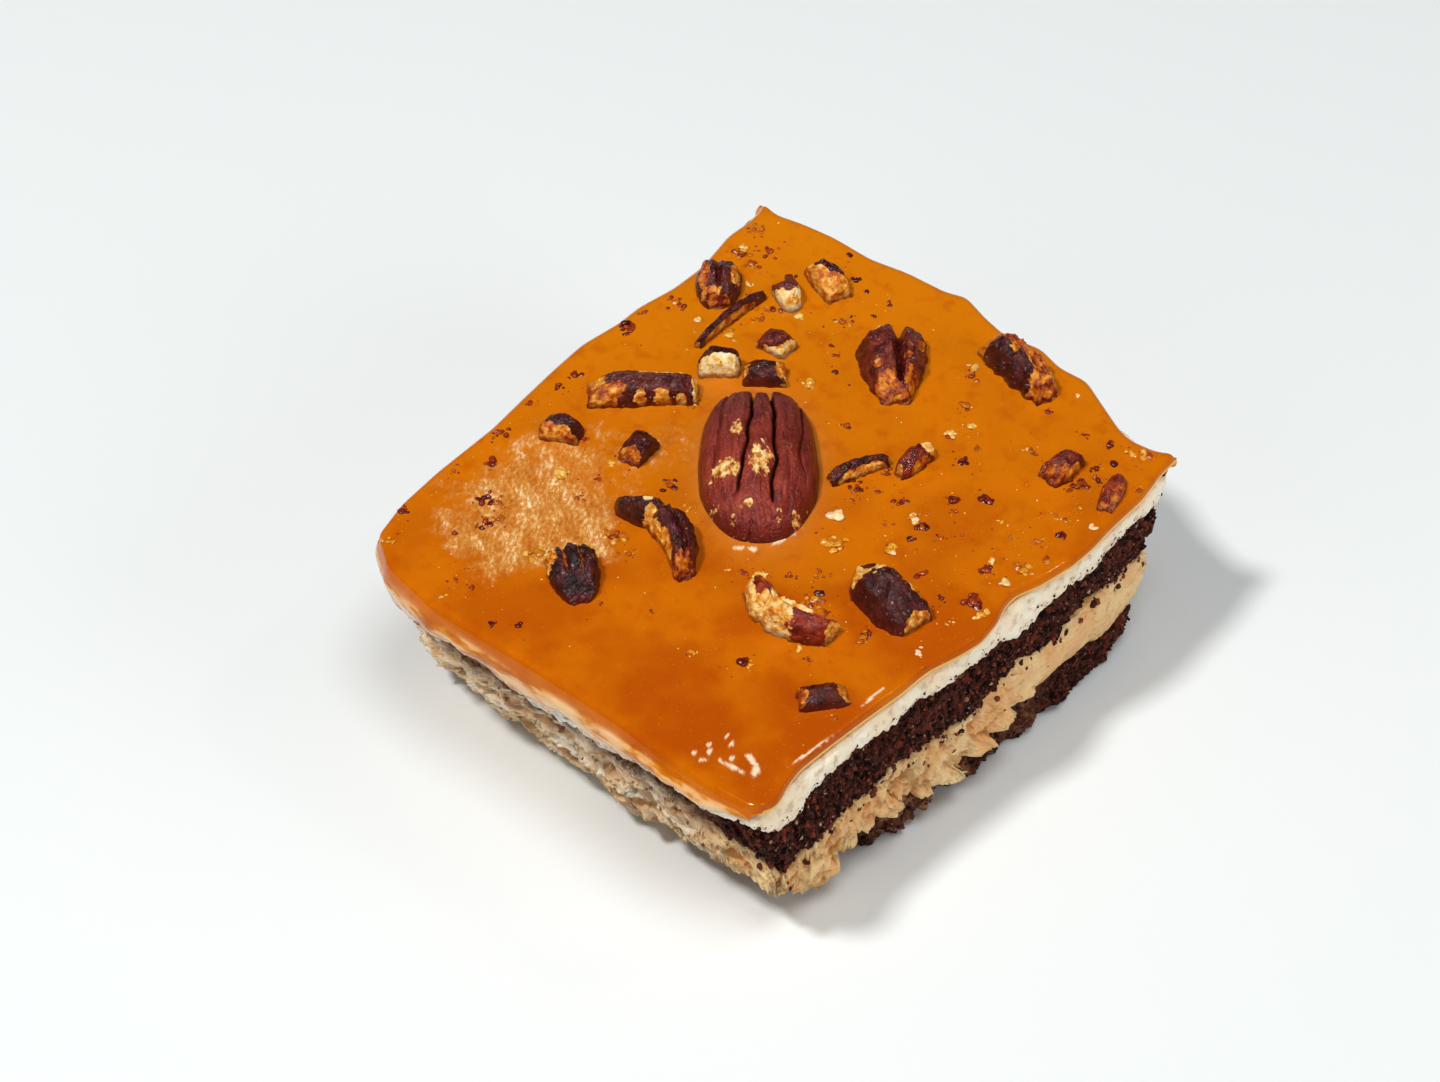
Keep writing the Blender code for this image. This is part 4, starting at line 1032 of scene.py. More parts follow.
nutShapes = {
    # grooves: across from -1 to 1, depth share. breaks: direction from its length in degrees,
    # share of its reach, slope up, golden 0 to 1 or none where skin covers the break.
    # marks where the flesh is bare: along, across, half length, half width, golden 0 to 1.
    # cap: skin is left only on this side, by its direction on the cake, slope up and start
    "piece_long": {
        "grooves": ((0.45, 0.25), (-0.45, 0.22)), "pinches": ((0.05, 0.12), (0.42, 0.1)), "red": 0.3,
        "breaks": ((0, 0.94, 15, 0.25), (180, 0.94, 10, 0.8)),
        "marks": ((0.32, 0.8, 0.42, 0.24, 0.0), (0.93, -0.1, 0.14, 0.9, 0.1), (-0.86, 0.0, 0.18, 1.0, 0.6),
                  (-0.58, -0.6, 0.26, 0.35, 0.7),
                  (-0.1, -0.88, 0.1, 0.18, 0.5), (0.28, -0.88, 0.16, 0.18, 0.3),
                  (0.62, -0.85, 0.08, 0.15, 0.3), (-0.18, 0.62, 0.06, 0.12, 0.2))},
    "piece_crescent": {
        "grooves": ((-0.05, 0.42),), "pinches": ((0.36, 0.42),), "red": 0.15,
        "breaks": ((180, 0.93, 20, 0.9),),
        "marks": ((-0.2, 0.95, 0.62, 0.3, 0.5), (0.4, 0.35, 0.1, 0.5, 0.3), (-0.92, 0.3, 0.14, 0.7, 0.9),
                  (0.66, -0.35, 0.1, 0.22, 0.1))},
    "piece_dark": {
        "grooves": ((-0.38, 0.45), (0.28, 0.45), (-0.8, 0.3)), "pinches": ((0.25, 0.15),), "red": 0.0,
        "breaks": ((20, 0.88, 30, 0.1), (180, 0.9, 25, None), (-130, 0.86, 35, None), (-60, 0.9, 30, None)),
        "marks": ((0.86, 0.2, 0.4, 0.9, 0.1), (0.35, 0.9, 0.4, 0.3, 0.5), (0.1, 0.32, 0.5, 0.06, 0.8),
                  (-0.1, -0.3, 0.5, 0.05, 0.9))},
    "piece_curl": {
        "grooves": ((0.3, 0.3),), "pinches": ((-0.25, 0.35), (0.62, 0.1)), "red": 1.0, "peeled": 0.12,
        "breaks": ((0, 0.95, 10, 0.3), (180, 0.9, 20, 0.25), (90, 0.62, 40, 0.1)),
        "marks": ((-0.62, 0.25, 0.24, 0.65, 1.0), (0.76, -0.3, 0.42, 0.8, 1.0))},
    "piece_broad": {
        "grooves": ((-0.15, 0.28), (0.5, 0.18)), "pinches": ((-0.1, 0.08),), "red": 0.1,
        "breaks": ((10, 0.84, 40, 0.1), (180, 0.98, 5, 0.4), (-100, 0.8, 30, 0.25)),
        "marks": ((0.78, 0.35, 0.2, 0.5, 0.08), (0.62, -0.55, 0.18, 0.3, 0.2), (-0.35, -0.95, 0.5, 0.3, 0.3),
                  (0.4, 0.1, 0.05, 0.08, 0.3))},
    "piece_forked": {
        "grooves": ((-0.2, 1.05), (0.45, 0.15), (0.8, 0.15)), "red": 0.42, "fork": True,
        "breaks": ((0, 0.96, 10, 0.5), (180, 0.92, 15, 0.8)),
        "marks": ((-0.78, 0.25, 0.24, 0.6, 0.7), (-0.72, -0.62, 0.24, 0.34, 0.9), (0.86, 0.42, 0.1, 0.3, 0.2),
                  (-0.35, 0.55, 0.1, 0.16, 0.8), (-0.2, -0.45, 0.1, 0.14, 0.9), (0.1, -0.55, 0.1, 0.1, 0.95),
                  (0.35, -0.85, 0.14, 0.12, 0.6))},
    "piece_edge": {
        "grooves": ((-0.1, 0.5), (-0.6, 0.4)), "pinches": ((0.1, 0.3), (-0.45, 0.25)), "red": 0.1,
        "crag": 1.8, "breaks": ((0, 0.95, 10, 0.7), (180, 0.92, 15, 0.8), (-90, 0.85, 20, 0.75)),
        "marks": ((0.0, -0.5, 1.3, 0.72, 0.72), (-0.85, 0.2, 0.2, 0.8, 0.7), (0.9, 0.3, 0.16, 0.8, 0.6))},
    "piece_back": {
        "grooves": ((0.0, 0.45),), "red": 0.25,
        "breaks": ((0, 0.9, 15, 0.7), (180, 0.92, 15, 0.8)),
        "marks": ((0.1, 0.62, 0.65, 0.25, 0.75), (-0.8, 0.3, 0.16, 0.5, 0.6), (0.1, -0.75, 0.5, 0.18, 0.5))},
    "piece_bark": {
        "red": 0.1, "breaks": ((0, 0.98, 10, 0.5), (180, 0.98, 10, 0.4)),
        "marks": ((-0.1, -0.95, 0.9, 0.35, 0.6),)},
    "piece_pale": {
        "red": 0.15, "bare": -0.1, "cap": (42, 30, 0.42), "boxy": 0.5,
        "breaks": ((0, 0.95, 10, None), (180, 0.95, 15, None))},
    "piece_stub": {
        "grooves": ((0.0, 0.15),), "red": 0.15, "boxy": 0.5,
        "breaks": ((0, 0.85, 15, 0.4), (180, 0.95, 15, 0.4)), "marks": ((0.85, 0.0, 0.25, 0.9, 0.35),)},
    "piece_block": {
        "red": 0.5, "bare": 0.05, "cap": (75, 62, 0.3), "boxy": 0.7,
        "breaks": ((0, 0.95, 10, None), (180, 0.95, 10, None))},
    "piece_cream": {
        "red": 0.4, "bare": -0.1, "cap": (60, 52, 0.48), "boxy": 0.4,
        "breaks": ((0, 0.95, 10, None), (180, 0.95, 20, None))},
    "piece_shell": {
        "red": 0.1, "bare": 0.45, "cap": (25, 30, 0.56), "boxy": 0.4,
        "breaks": ((0, 0.95, 10, None), (180, 0.9, 15, None))},
    "piece_wedge": {
        "red": 0.6, "breaks": ((0, 0.9, 15, 0.7), (180, 0.8, 25, 0.9)),
        "marks": ((-0.6, -0.6, 0.5, 0.5, 0.9), (0.2, -0.95, 0.6, 0.25, 0.7))},
    "piece_pane": {
        "red": 0.8, "breaks": ((0, 0.95, 15, 0.8), (180, 0.9, 20, 0.9)),
        "marks": ((-0.2, -0.7, 0.8, 0.45, 0.95), (0.0, 0.9, 0.8, 0.25, 0.9))},
    "piece_blade": {
        "pinches": ((0.2, 0.2),), "red": 0.15, "breaks": ((0, 0.98, 10, 0.4), (180, 0.98, 10, 0.8)),
        "marks": ((0.2, -0.85, 0.9, 0.35, 0.45),)},
    "piece_tip": {
        "pinches": ((0.3, 0.2),), "red": 0.7, "breaks": ((0, 0.9, 20, 0.0), (180, 0.95, 15, 0.6)),
        "marks": ((0.8, 0.0, 0.35, 1.0, 0.05), (-0.2, -0.9, 0.6, 0.25, 0.8))},
    "piece_bar": {
        "grooves": ((0.25, 0.12),),
        "red": 0.2, "boxy": 0.6, "breaks": ((0, 0.95, 5, 0.4), (180, 0.88, 10, 0.75)),
        "marks": ((-0.85, -0.1, 0.2, 0.8, 0.75),)},
    "piece_shard": {
        "red": 0.15, "bare": 0.8, "cap": (15, 35, -0.45), "boxy": 0.8,
        "breaks": ((0, 0.95, 20, None), (180, 0.85, 20, 0.8))},
    "piece_knob": {
        "red": 0.05, "bare": 0.6, "cap": (5, 25, 0.0), "boxy": 0.5,
        "breaks": ((0, 0.9, 20, None), (180, 0.9, 20, None))},
}

nutSkin, nutShader = newFinish("broken pecan", Roughness=0.2, Specular_IOR_Level=0.5)
dark = ramp(nutSkin, grain(nutSkin, 2.2, 0.3, 0.7), (0.0, (12, 1, 2)), (0.5, (44, 7, 12)),
            (1.0, (78, 24, 32)))
red = ramp(nutSkin, grain(nutSkin, 2.0, 0.3, 0.7), (0.0, (84, 8, 3)), (0.5, (136, 34, 14)),
           (1.0, (178, 72, 36)))
outside = blendOf(nutSkin, painted(nutSkin, "red"), dark, red)
outside = blendOf(nutSkin, grain(nutSkin, 0.5, 0.62, 0.72), outside, (14, 1, 1))
# painted highlights: pale glinting specks on the nut skins
paintedSparkle = sums(nutSkin, "MULTIPLY", grain(nutSkin, 0.55, 0.66, 0.72, 4.0, turn=30), 0.7)
outside = blendOf(nutSkin, paintedSparkle, outside, (226, 176, 164))
varied = sums(nutSkin, "MULTIPLY", grain(nutSkin, 1.1, 0.25, 0.75, 4.0), 0.62)
varied = sums(nutSkin, "ADD", varied, sums(nutSkin, "MULTIPLY", painted(nutSkin, "golden"), 0.55))
inside = ramp(nutSkin, varied, (0.0, (255, 240, 196)), (0.28, (250, 204, 120)), (0.5, (232, 150, 32)),
              (0.72, (196, 92, 2)), (0.95, (124, 32, 2)))
inside = blendOf(nutSkin, grain(nutSkin, 0.6, 0.66, 0.74), inside, (92, 20, 6))
ragged = sums(nutSkin, "ADD", painted(nutSkin, "flesh"), grain(nutSkin, 0.8, 0.15, 0.85, 4.0))
nutTone = blendOf(nutSkin, rangeOf(nutSkin, ragged, 0.94, 1.06), outside, inside)
# darker at the foot: soaked in caramel, and painted contact shade
soakedAndShadedFoot = rangeOf(nutSkin, axesOf(nutSkin)["Z"], 0.0326, 0.0313)
nutTone = blendOf(nutSkin, soakedAndShadedFoot, nutTone, (96, 18, 2), 0.75)
connect(nutSkin, nutTone, nutShader, "Base Color")
rawness = rangeOf(nutSkin, painted(nutSkin, "flesh"), 0.3, 0.7, 0.14, 0.34)
connect(nutSkin, rawness, nutShader, "Roughness")
creases = grain(nutSkin, 1.3, 0.3, 0.7, 4.0, stretch=(0.6, 1.0, 1.0), rough=0.65)
addBump(nutSkin, nutShader, sums(nutSkin, "ADD", grain(nutSkin, 0.45, 0.2, 0.8, 4.0), creases), 0.13, 1.0)


def breakOff(spot, shape, size, number, name):
    # draws a point in to each broken end, and says how bare it is and how golden
    bare, gold = 0.0, 0.5
    facets = facetsFor(number) if abs(nuts[name][6]) < 1 and size[1] > 3.2 else ()
    for angle, share, slope, tone in shape["breaks"] + facets:
        facing = pointing(angle, slope)
        reach = share * (abs(facing.x) * size[0] / 2 + abs(facing.y) * size[1] / 2
                         + abs(facing.z) * size[2] * 0.75)
        craggy = (0.1 if tone is None else 0.35) * ripple(spot.x, spot.y, spot.z + number * 7, 2.0)
        craggy += 0.12 * ripple(spot.x, spot.y, spot.z + number * 3, 0.7)
        beyond = spot.dot(facing) - reach + craggy
        if beyond > 0:
            spot -= facing * beyond
            if beyond / 0.3 > bare and tone is not None:
                bare, gold = min(1.0, beyond / 0.3), tone
    return spot, bare, gold


def markAt(lengthwise, across, spot, shape, number):
    strongest, gold = 0.0, 0.5
    for placeAlong, placeAcross, far, wide, tone in shape.get("marks", ()):
        spread = ((lengthwise - placeAlong) / far) ** 2 + ((across - placeAcross) / wide) ** 2
        spread += 0.7 * ripple(spot.x, spot.y, spot.z + number * 5, 1.3, 4)
        share = ease((1.25 - spread) / 0.5)
        if share > strongest:
            strongest, gold = share, tone
    return strongest, gold


brokenNut = {
    "large": 7.5, "largeMesh": (128, 88), "smallMesh": (72, 44),  # from what length, segments and rings
    "foot": 0.7,  # how far below its middle it is cut flat
    "knobs": 0.09, "ribs": 0.26,
}
for number, (name, settings) in enumerate(nuts.items()):
    x, y, length, width, height, turn, bend, taper = settings
    shape = nutShapes[name]
    large, crag = length > brokenNut["large"], shape.get("crag", 1.0)
    piece = lengthwiseSphere(name.replace("piece_", "pecan_"),
                             *brokenNut["largeMesh" if large else "smallMesh"])
    fleshy, goldenness = [], []
    if "cap" in shape:
        toward = pointing(shape["cap"][0] - turn, shape["cap"][1])
    for vertex in piece.data.vertices:
        unit = vertex.co.copy()
        vertex.co *= max(abs(part) for part in unit) ** (-0.8 * shape.get("boxy", 0.0))
        vertex.co.x = max(-1.0, min(1.0, vertex.co.x))
        lengthwise, across, up = vertex.co
        depth = sum(deep * math.exp(-abs((across - groove) / 0.13) ** 1.8)
                    for groove, deep in shape.get("grooves", ()))
        pinch = sum(deep * math.exp(-((lengthwise / 0.76 - spot) / 0.12) ** 2)
                    for spot, deep in shape.get("pinches", ()))
        depth *= ease((lengthwise + 0.72) / 0.2) if shape.get("fork") else 1.0
        inMm = lengthwise * length, across * width
        knobbly = 1.0 + brokenNut["knobs"] * ripple(*inMm, up * height + number * 9, 3.2, 2)
        knobbly += 0.05 * ripple(*inMm, up * height + number * 4, 1.2, 2)
        ribs = brokenNut["ribs"] * ripple(lengthwise * 3, across * width * 1.6, number * 5.0, 1.6, 2)
        spread = width * 0.5 * (1 + taper * lengthwise) * (1 - 0.5 * pinch)
        forward = lengthwise * length * 0.66
        if shape.get("fork") and lengthwise > 0:
            forward *= 1 - 0.45 * lengthwise * math.exp(-((across + 0.2) / 0.16) ** 2)
            forward *= 1.06 if across < -0.2 else 0.97
        spot = Vector((
            forward,
            (across * spread + bend * (1 - 2 * min(0.55, lengthwise * lengthwise))) * knobbly,
            up * (height + ribs) * (1 - 0.62 * depth * max(0.0, up) ** 0.6) * (1 - pinch * 0.7) * knobbly,
        ))
        spot, bare, gold = breakOff(spot, shape, (length, width, height), number, name)
        share, tone = markAt(lengthwise / 0.76, across, spot, shape, number)
        if "cap" in shape:
            skinned = unit.dot(toward) - shape["cap"][2] + 0.25 * ripple(*spot, 1.4, 3)
            share, tone = 1 - ease(skinned / 0.16 + 0.5), shape["bare"]
        elif "peeled" in shape:  # flesh all over, but for skin at its marks
            share, tone = 1 - share, shape["peeled"]
        if share > bare:
            bare, gold = share, tone
        chipped = (0.24 if large else 0.12) * (ripple(spot.x, spot.y, spot.z + number, 0.9) - 0.6)
        spot += Vector((0, across, max(0.0, up))) * chipped * crag * bare
        fleshy.append(bare)
        goldenness.append(gold)
        vertex.co = spot * mm
    paintPoints(piece, "flesh", fleshy)
    paintPoints(piece, "golden", goldenness)
    paintPoints(piece, "red", [shape["red"]] * len(fleshy))
    pickFaces(piece, lambda face: True)
    bpy.ops.mesh.bisect(plane_co=(0, 0, -brokenNut["foot"] * mm), plane_no=(0, 0, -1), clear_outer=True,
                        use_fill=True)
    bpy.ops.object.mode_set(mode="OBJECT")
    layDown(piece, x, y, turn, glazeTop + 0.1)
    finishPiece(piece, nutSkin, "pecan", name)


# crumbs: a few chips are broken from small solids, then copied over the cake with their own mesh

def makeChip(name, seed, flat, fineness=2):  # one irregular chip about 1 mm across, of a few dozen faces
    chip = startPiece(name, bpy.ops.mesh.primitive_ico_sphere_add, subdivisions=fineness, radius=0.5)
    draw = random.Random(seed)
    for turn in range(7):
        facing = Vector((draw.uniform(-1, 1), draw.uniform(-1, 1), draw.uniform(-0.8, 1))).normalized()
        reach = draw.uniform(0.22, 0.4)
        for vertex in chip.data.vertices:
            beyond = vertex.co.dot(facing) - reach
            if beyond > 0:
                vertex.co -= facing * beyond
    pickFaces(chip, lambda face: True)
    bpy.ops.mesh.remove_doubles(threshold=0.03)
    bpy.ops.transform.resize(value=(1.15, 0.85, flat))
    bpy.ops.mesh.normals_make_consistent(inside=False)
    bpy.ops.object.mode_set(mode="OBJECT")
    return chip


chips = [makeChip("chip%d" % seed, seed, flat) for seed, flat in
         ((3, 0.75), (8, 0.55), (15, 0.9), (21, 0.4), (34, 0.7), (47, 0.5))]
plainChips = [makeChip("plainChip%d" % seed, seed, flat, 1) for seed, flat in ((4, 0.8), (9, 0.6), (16, 1.0))]


def strew(name, places, shapes, finish, slot):
    # one mesh of chips, each at (spot, length, flatness, turn, facing, tone), in mm
    draw = random.Random(name)
    corners, faces, tones = [], [], []
    for spot, size, flat, turn, facing, tone in places:
        chip = draw.choice(shapes).data
        tilt = facing.to_track_quat("Z", "Y").to_matrix()
        spin = Matrix.Rotation(turn, 3, "Z") @ Matrix.Diagonal((size, size, size * flat))
        first = len(corners)
        corners += [(spot + tilt @ (spin @ vertex.co)) * mm for vertex in chip.vertices]
        faces += [[first + point for point in face.vertices] for face in chip.polygons]
        tones += [tone] * len(chip.vertices)
    mesh = bpy.data.meshes.new(name)
    mesh.from_pydata(corners, [], faces)
    mesh.update()
    piece = bpy.data.objects.new(name, mesh)
    scene.collection.objects.link(piece)
    bpy.ops.object.select_all(action="DESELECT")
    bpy.context.view_layer.objects.active = piece
    paintPoints(piece, "tone", tones)
    finishPiece(piece, finish, slot)


def surfaceAt(x, y):  # the caramel's height away from its edges
    return glazeTop + 0.3 * footClimb(x, y)


drifts = (  # where crumbs lie together: x, y, reach, how many, the largest in mm, darkest and palest tone
    (-38.9, 31.2, 1.2, 6, 1.5, 0.1, 0.4), (-44.2, 28.0, 1.3, 4, 1.3, 0.5, 0.7),
    (-28.6, 31.6, 1.8, 4, 0.9, 0.2, 0.45), (-24.0, 29.0, 1.4, 7, 1.6, 0.15, 0.45),
    (-18.8, 32.6, 1.8, 8, 1.5, 0.2, 0.5), (-11.6, 34.0, 0.8, 3, 1.0, 0.2, 0.4),
    (-29.2, 24.8, 1.5, 8, 1.7, 0.1, 0.4), (-28.6, 22.8, 1.5, 6, 1.1, 0.25, 0.5),
    (-32.6, 21.2, 1.6, 8, 1.4, 0.08, 0.6), (-30.6, 20.0, 1.1, 4, 1.3, 0.45, 0.6),
    (-36.9, 22.6, 0.9, 3, 1.1, 0.2, 0.4), (-18.7, 20.2, 1.0, 6, 2.3, 0.58, 0.76),
    (-12.4, 16.8, 0.7, 4, 1.2, 0.6, 0.8), (-15.8, 15.8, 0.9, 4, 1.0, 0.3, 0.5),
    (-20.7, 15.4, 1.5, 6, 1.0, 0.3, 0.5), (-11.6, 22.8, 0.9, 4, 1.1, 0.25, 0.4),
    (-10.0, 7.8, 1.6, 9, 1.5, 0.05, 0.45), (-22.6, 6.4, 1.7, 12, 1.5, 0.35, 0.75),
    (-23.6, 2.6, 1.8, 8, 1.0, 0.3, 0.6), (-31.8, 11.4, 1.9, 10, 1.7, 0.5, 0.75),
    (-46.6, 15.4, 1.1, 4, 1.1, 0.5, 0.7), (-43.0, 16.2, 1.3, 6, 0.7, 0.2, 0.85),
    (-42.4, 13.6, 0.9, 3, 0.9, 0.1, 0.3), (-45.4, 6.8, 0.8, 3, 1.1, 0.1, 0.35),
    (-43.4, 3.8, 0.8, 3, 1.1, 0.1, 0.35), (-33.0, -1.4, 0.8, 3, 0.7, 0.3, 0.4),
    (-12.1, 2.6, 1.6, 7, 0.8, 0.4, 0.7), (-6.4, 33.4, 1.0, 4, 1.3, 0.1, 0.35),
    (-3.2, 33.4, 1.2, 5, 1.4, 0.1, 0.35), (9.6, 35.4, 1.3, 8, 2.0, 0.08, 0.35),
    (8.0, 34.2, 0.9, 3, 1.0, 0.1, 0.3), (13.0, 35.4, 1.0, 4, 1.0, 0.2, 0.4),
    (17.8, 33.6, 1.9, 9, 1.4, 0.2, 0.5), (17.3, 28.6, 0.6, 3, 1.1, 0.75, 0.85),
    (27.8, 28.6, 1.0, 4, 1.1, 0.7, 0.85), (31.6, 31.4, 1.4, 6, 1.4, 0.28, 0.58),
    (35.4, 31.4, 2.0, 8, 1.4, 0.22, 0.45), (33.4, 35.0, 1.0, 3, 1.3, 0.7, 0.85),
    (31.8, 33.8, 1.8, 9, 1.6, 0.25, 0.6), (38.0, 35.6, 2.2, 8, 1.2, 0.25, 0.5),
    (42.8, 22.2, 0.5, 2, 1.1, 0.08, 0.15), (39.4, 17.8, 0.8, 4, 1.3, 0.12, 0.3),
    (27.8, 18.6, 0.9, 5, 1.5, 0.65, 0.8), (31.2, 13.0, 1.7, 9, 1.4, 0.18, 0.7),
    (26.3, 11.0, 0.6, 2, 0.9, 0.15, 0.25), (25.2, 9.2, 0.7, 3, 0.9, 0.2, 0.4),
    (22.7, 6.6, 0.7, 3, 1.1, 0.1, 0.3), (18.5, 7.8, 1.3, 6, 1.6, 0.55, 0.8),
    (15.3, -2.0, 0.9, 4, 1.1, 0.2, 0.45), (35.1, 10.6, 0.6, 2, 0.9, 0.15, 0.25),
    (38.6, 10.6, 0.8, 3, 0.9, 0.15, 0.3), (38.4, 15.0, 0.6, 2, 0.9, 0.15, 0.25),
    (17.6, 23.0, 1.7, 7, 1.4, 0.5, 0.78), (23.0, 23.0, 2.0, 7, 1.2, 0.4, 0.7),
    (26.2, 22.4, 1.4, 6, 1.3, 0.25, 0.5), (17.2, 12.6, 1.4, 8, 1.2, 0.3, 0.62),
    (33.2, 25.4, 1.0, 4, 1.4, 0.15, 0.3), (-29.2, -7.2, 0.7, 3, 0.7, 0.3, 0.5),
    (-30.9, -16.4, 1.1, 5, 0.9, 0.5, 0.75), (-27.6, -22.6, 0.6, 3, 1.9, 0.1, 0.22),
    (-27.4, -23.8, 1.2, 6, 0.6, 0.5, 0.8), (-15.2, -13.4, 1.5, 9, 1.3, 0.72, 0.9),
    (-16.4, -9.6, 1.0, 4, 0.7, 0.6, 0.8), (-15.6, -11.6, 0.8, 3, 0.9, 0.2, 0.4),
    (-11.6, -16.4, 1.0, 4, 0.9, 0.25, 0.5), (-12.9, -21.8, 1.9, 13, 1.4, 0.35, 0.68),
    (-11.3, -21.6, 0.4, 2, 1.7, 0.03, 0.1), (-13.4, -24.6, 1.4, 7, 1.0, 0.3, 0.6),
    (-21.4, -28.8, 0.9, 4, 0.9, 0.25, 0.5), (-13.4, -31.2, 1.4, 10, 1.5, 0.1, 0.5),
    (-8.3, -18.8, 1.8, 7, 0.8, 0.4, 0.62), (-10.5, -38.4, 1.2, 5, 0.9, 0.7, 0.9),
    (-4.0, -37.6, 1.5, 8, 0.9, 0.4, 0.8), (-26.6, -38.4, 1.5, 6, 0.7, 0.4, 0.78),
    (-20.6, -26.4, 0.8, 3, 1.0, 0.7, 0.88), (5.0, -12.8, 1.5, 7, 0.8, 0.25, 0.5),
    (7.1, -11.6, 1.5, 8, 1.2, 0.15, 0.4), (8.6, -14.2, 1.0, 4, 0.9, 0.2, 0.4),
    (9.2, -17.8, 1.2, 7, 1.1, 0.2, 0.45), (4.4, -19.2, 1.6, 6, 0.8, 0.3, 0.6),
    (12.0, -12.8, 1.2, 5, 1.0, 0.2, 0.4), (7.9, -21.6, 1.3, 7, 1.5, 0.5, 0.9),
    (7.7, -23.6, 1.3, 8, 1.5, 0.06, 0.55), (4.8, -23.6, 0.7, 3, 1.2, 0.08, 0.2),
    (14.5, -22.8, 0.5, 3, 2.2, 0.12, 0.24), (12.8, -24.4, 0.9, 4, 0.9, 0.2, 0.4),
    (17.4, -26.2, 0.9, 5, 2.1, 0.12, 0.3), (7.7, -26.4, 0.9, 5, 0.8, 0.2, 0.6),
    (0.7, -29.0, 1.0, 5, 1.3, 0.18, 0.4), (10.0, -28.3, 0.9, 4, 0.7, 0.4, 0.6),
    (15.8, -30.4, 0.7, 3, 0.8, 0.5, 0.72), (21.0, -18.8, 0.9, 5, 1.5, 0.08, 0.3),
    (24.3, -18.4, 0.8, 4, 1.0, 0.3, 0.8), (23.9, -13.6, 1.1, 6, 1.4, 0.15, 0.92),
    (29.8, -11.4, 1.1, 8, 1.6, 0.28, 0.6), (27.2, -14.9, 0.7, 3, 1.7, 0.68, 0.84),
    (35.0, -8.2, 1.4, 6, 1.2, 0.18, 0.4), (36.8, -7.2, 1.2, 5, 1.7, 0.62, 0.76),
    (29.4, -24.0, 1.5, 8, 1.1, 0.18, 0.8), (36.8, -20.8, 0.7, 3, 1.0, 0.18, 0.28),
    (36.6, -27.6, 1.4, 4, 0.8, 0.18, 0.3), (37.5, -31.6, 0.9, 4, 1.4, 0.18, 0.34),
    (35.0, -34.4, 0.4, 2, 1.6, 0.12, 0.2), (32.4, -33.3, 1.0, 4, 1.3, 0.05, 0.2),
    (28.2, -33.6, 1.6, 12, 1.7, 0.14, 0.5), (30.8, -35.0, 1.3, 8, 1.1, 0.1, 0.5),
    (19.2, -38.5, 0.9, 5, 1.7, 0.08, 0.38), (21.4, -35.6, 1.4, 8, 0.9, 0.4, 0.7),
    (16.2, -36.8, 1.5, 9, 0.9, 0.35, 0.65), (14.0, -33.5, 0.9, 5, 0.8, 0.45, 0.7),
    (14.2, -39.8, 1.0, 5, 1.3, 0.28, 0.9), (25.0, -36.6, 1.3, 6, 0.9, 0.4, 0.62),
    (23.3, -40.4, 0.7, 3, 1.4, 0.82, 0.92), (7.4, -35.0, 1.0, 5, 1.8, 0.05, 0.3),
    (8.8, -34.6, 0.5, 2, 1.4, 0.76, 0.86), (7.2, -38.5, 0.6, 3, 1.9, 0.8, 0.88),
    (1.6, -38.0, 1.5, 10, 2.3, 0.14, 0.34), (0.4, -40.0, 1.3, 6, 1.5, 0.62, 0.88),
    (-1.0, -34.2, 1.0, 3, 0.9, 0.12, 0.25), (10.6, -38.6, 1.7, 10, 1.9, 0.42, 0.66),
    (41.6, -22.4, 1.2, 5, 1.4, 0.3, 0.9), (39.4, -36.8, 1.2, 7, 1.5, 0.4, 0.8),
    (38.0, -35.0, 1.3, 6, 1.2, 0.5, 0.72), (33.2, -40.2, 1.0, 5, 1.0, 0.3, 0.56),
    (-2.9, -16.8, 1.7, 11, 1.9, 0.42, 0.72), (1.3, -23.0, 1.1, 8, 1.9, 0.3, 0.88),
    (1.2, -13.2, 1.0, 6, 2.6, 0.78, 0.9), (3.9, 16.4, 1.2, 6, 0.9, 0.35, 0.7),
)


def onTop(x, y, spare):  # inside the caramel's edge by this much, in mm
    right = 43.5 if y > -22 else 40.5
    return -47 + spare < x < right - spare and -41.5 + spare < y < 32.5 + 0.075 * (x + 44) - spare


draw = random.Random(7)
larger = []
for x, y, reach, count, largest, darkest, palest in drifts:
    for number in range(count):
        turned, away = draw.uniform(0, 6.28), reach * (number / count) ** 0.7
        spotX, spotY = x + away * math.cos(turned), y + away * math.sin(turned)
        if not onTop(spotX, spotY, 0.3):
            continue
        size = largest * (1.0 if number == 0 else draw.uniform(0.35, 0.85))
        tilt = Vector((draw.uniform(-0.35, 0.35), draw.uniform(-0.35, 0.35), 1)).normalized()
        flat = draw.uniform(0.4, 0.8)
        larger.append((Vector((spotX, spotY, surfaceAt(spotX, spotY) + size * flat * 0.1)), size, flat,
                       draw.uniform(0, 6.28), tilt, draw.uniform(darkest, palest)))


def dust(seed, count, sizes, near, tones):
    # tiny specks scattered over the caramel, thicker within reach of the larger crumbs and the nuts
    draw, places = random.Random(seed), []
    while len(places) < count:
        x, y = draw.choice(drifts)[:2]
        turn, away = draw.uniform(0, 6.28), near * draw.random() ** 0.6
        x, y = x + away * math.cos(turn), y + away * math.sin(turn)
        if onTop(x, y, 1.5):
            size = draw.uniform(*sizes)
            spot = Vector((x, y, surfaceAt(x, y) + size * 0.05))
            places.append((spot, size, draw.uniform(0.4, 0.8), draw.uniform(0, 6.28), Vector((0, 0, 1)),
                           draw.uniform(*tones)))
    return places


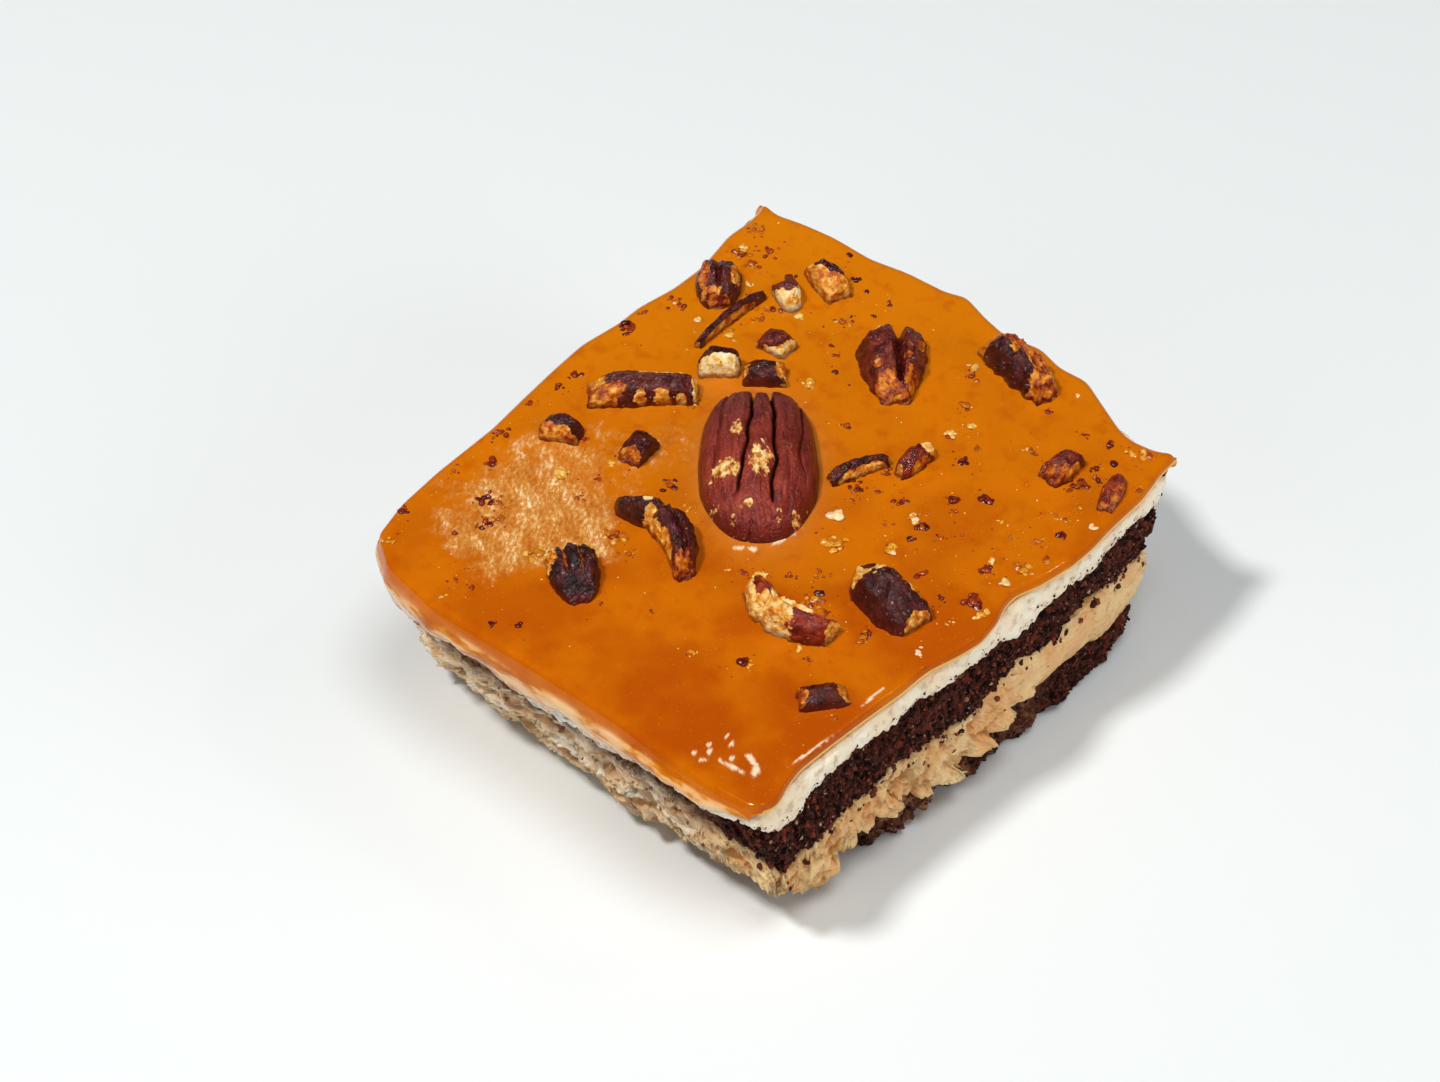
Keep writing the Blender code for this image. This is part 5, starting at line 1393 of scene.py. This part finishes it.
crumbFinish, crumbShader = newFinish("nut crumb", Roughness=0.22, Specular_IOR_Level=0.55)
varied = sums(crumbFinish, "MULTIPLY", grain(crumbFinish, 0.7, 0.3, 0.7), 0.16)
crumbTones = ramp(crumbFinish, sums(crumbFinish, "ADD", painted(crumbFinish, "tone"), varied),
                  (0.06, (22, 4, 8)), (0.22, (84, 10, 6)), (0.38, (142, 44, 12)), (0.55, (178, 84, 10)),
                  (0.7, (214, 138, 16)), (0.84, (236, 186, 84)), (0.94, (246, 216, 160)),
                  (1.0, (244, 206, 184)))
connect(crumbFinish, crumbTones, crumbShader, "Base Color")
addBump(crumbFinish, crumbShader, grain(crumbFinish, 0.5, 0.2, 0.8), 0.05, 0.7)
strew("nutCrumbs", larger, chips, crumbFinish, "pecan")
specks = dust(5, 380, (0.22, 0.5), 3.5, (0.15, 0.7)) + dust(6, 200, (0.2, 0.42), 12.0, (0.4, 0.85))
strew("nutDust", specks, plainChips, crumbFinish, "pecan")

# loose chocolate crumbs on the cut sides
spongeFinish, spongeShader = newFinish("loose chocolate crumb", Roughness=0.8, Specular_IOR_Level=0.2)
crumbTones = ramp(spongeFinish, painted(spongeFinish, "tone"), (0.0, (16, 4, 3)), (0.45, (66, 28, 20)),
                  (0.75, (112, 58, 42)), (0.9, (142, 62, 32)), (1.0, (196, 164, 144)))
connect(spongeFinish, crumbTones, spongeShader, "Base Color")


def overSide(seed, count, spotOn, shares, sizes, tones):
    draw, places = random.Random(seed), []
    while len(places) < count:
        column, share = draw.randrange(columns), draw.uniform(*shares)
        normal = cakeNormals[column]
        if leftShare(cakeLine[column].y, normal) < 0.25:
            spot = spotOn(column, share, 0) / mm
            size = sizes[0] + (sizes[1] - sizes[0]) * draw.random() ** 2
            facing = Vector((normal.x, normal.y, draw.uniform(-0.4, 0.9))).normalized()
            places.append((spot, size, draw.uniform(0.6, 1.0), draw.uniform(0, 6.28), facing,
                           tones[0] + (tones[1] - tones[0]) * draw.random() ** 1.25))
    return places


looseCrumbs = (  # seed, how many, which side, shares of its height, sizes in mm, tones
    (11, 3000, upperSpongeSpot, (0.02, 0.99), (0.35, 1.1), (0.0, 1.0)),
    (12, 900, lowerSpongeSpot, (0.1, 0.98), (0.35, 1.2), (0.0, 0.95)),
    (13, 420, whiteSpot, (0.0, 0.45), (0.2, 0.7), (0.1, 0.9)),
    (14, 200, coffeeSpot, (0.84, 1.0), (0.5, 1.7), (0.3, 0.9)),
    (15, 30, coffeeSpot, (0.5, 0.9), (0.4, 1.0), (0.5, 0.9)),
)
strew("chocolateCrumbs", [crumb for settings in looseCrumbs for crumb in overSide(*settings)],
      plainChips, spongeFinish, "sponge")
for chip in chips + plainChips:
    bpy.data.objects.remove(chip, do_unlink=True)
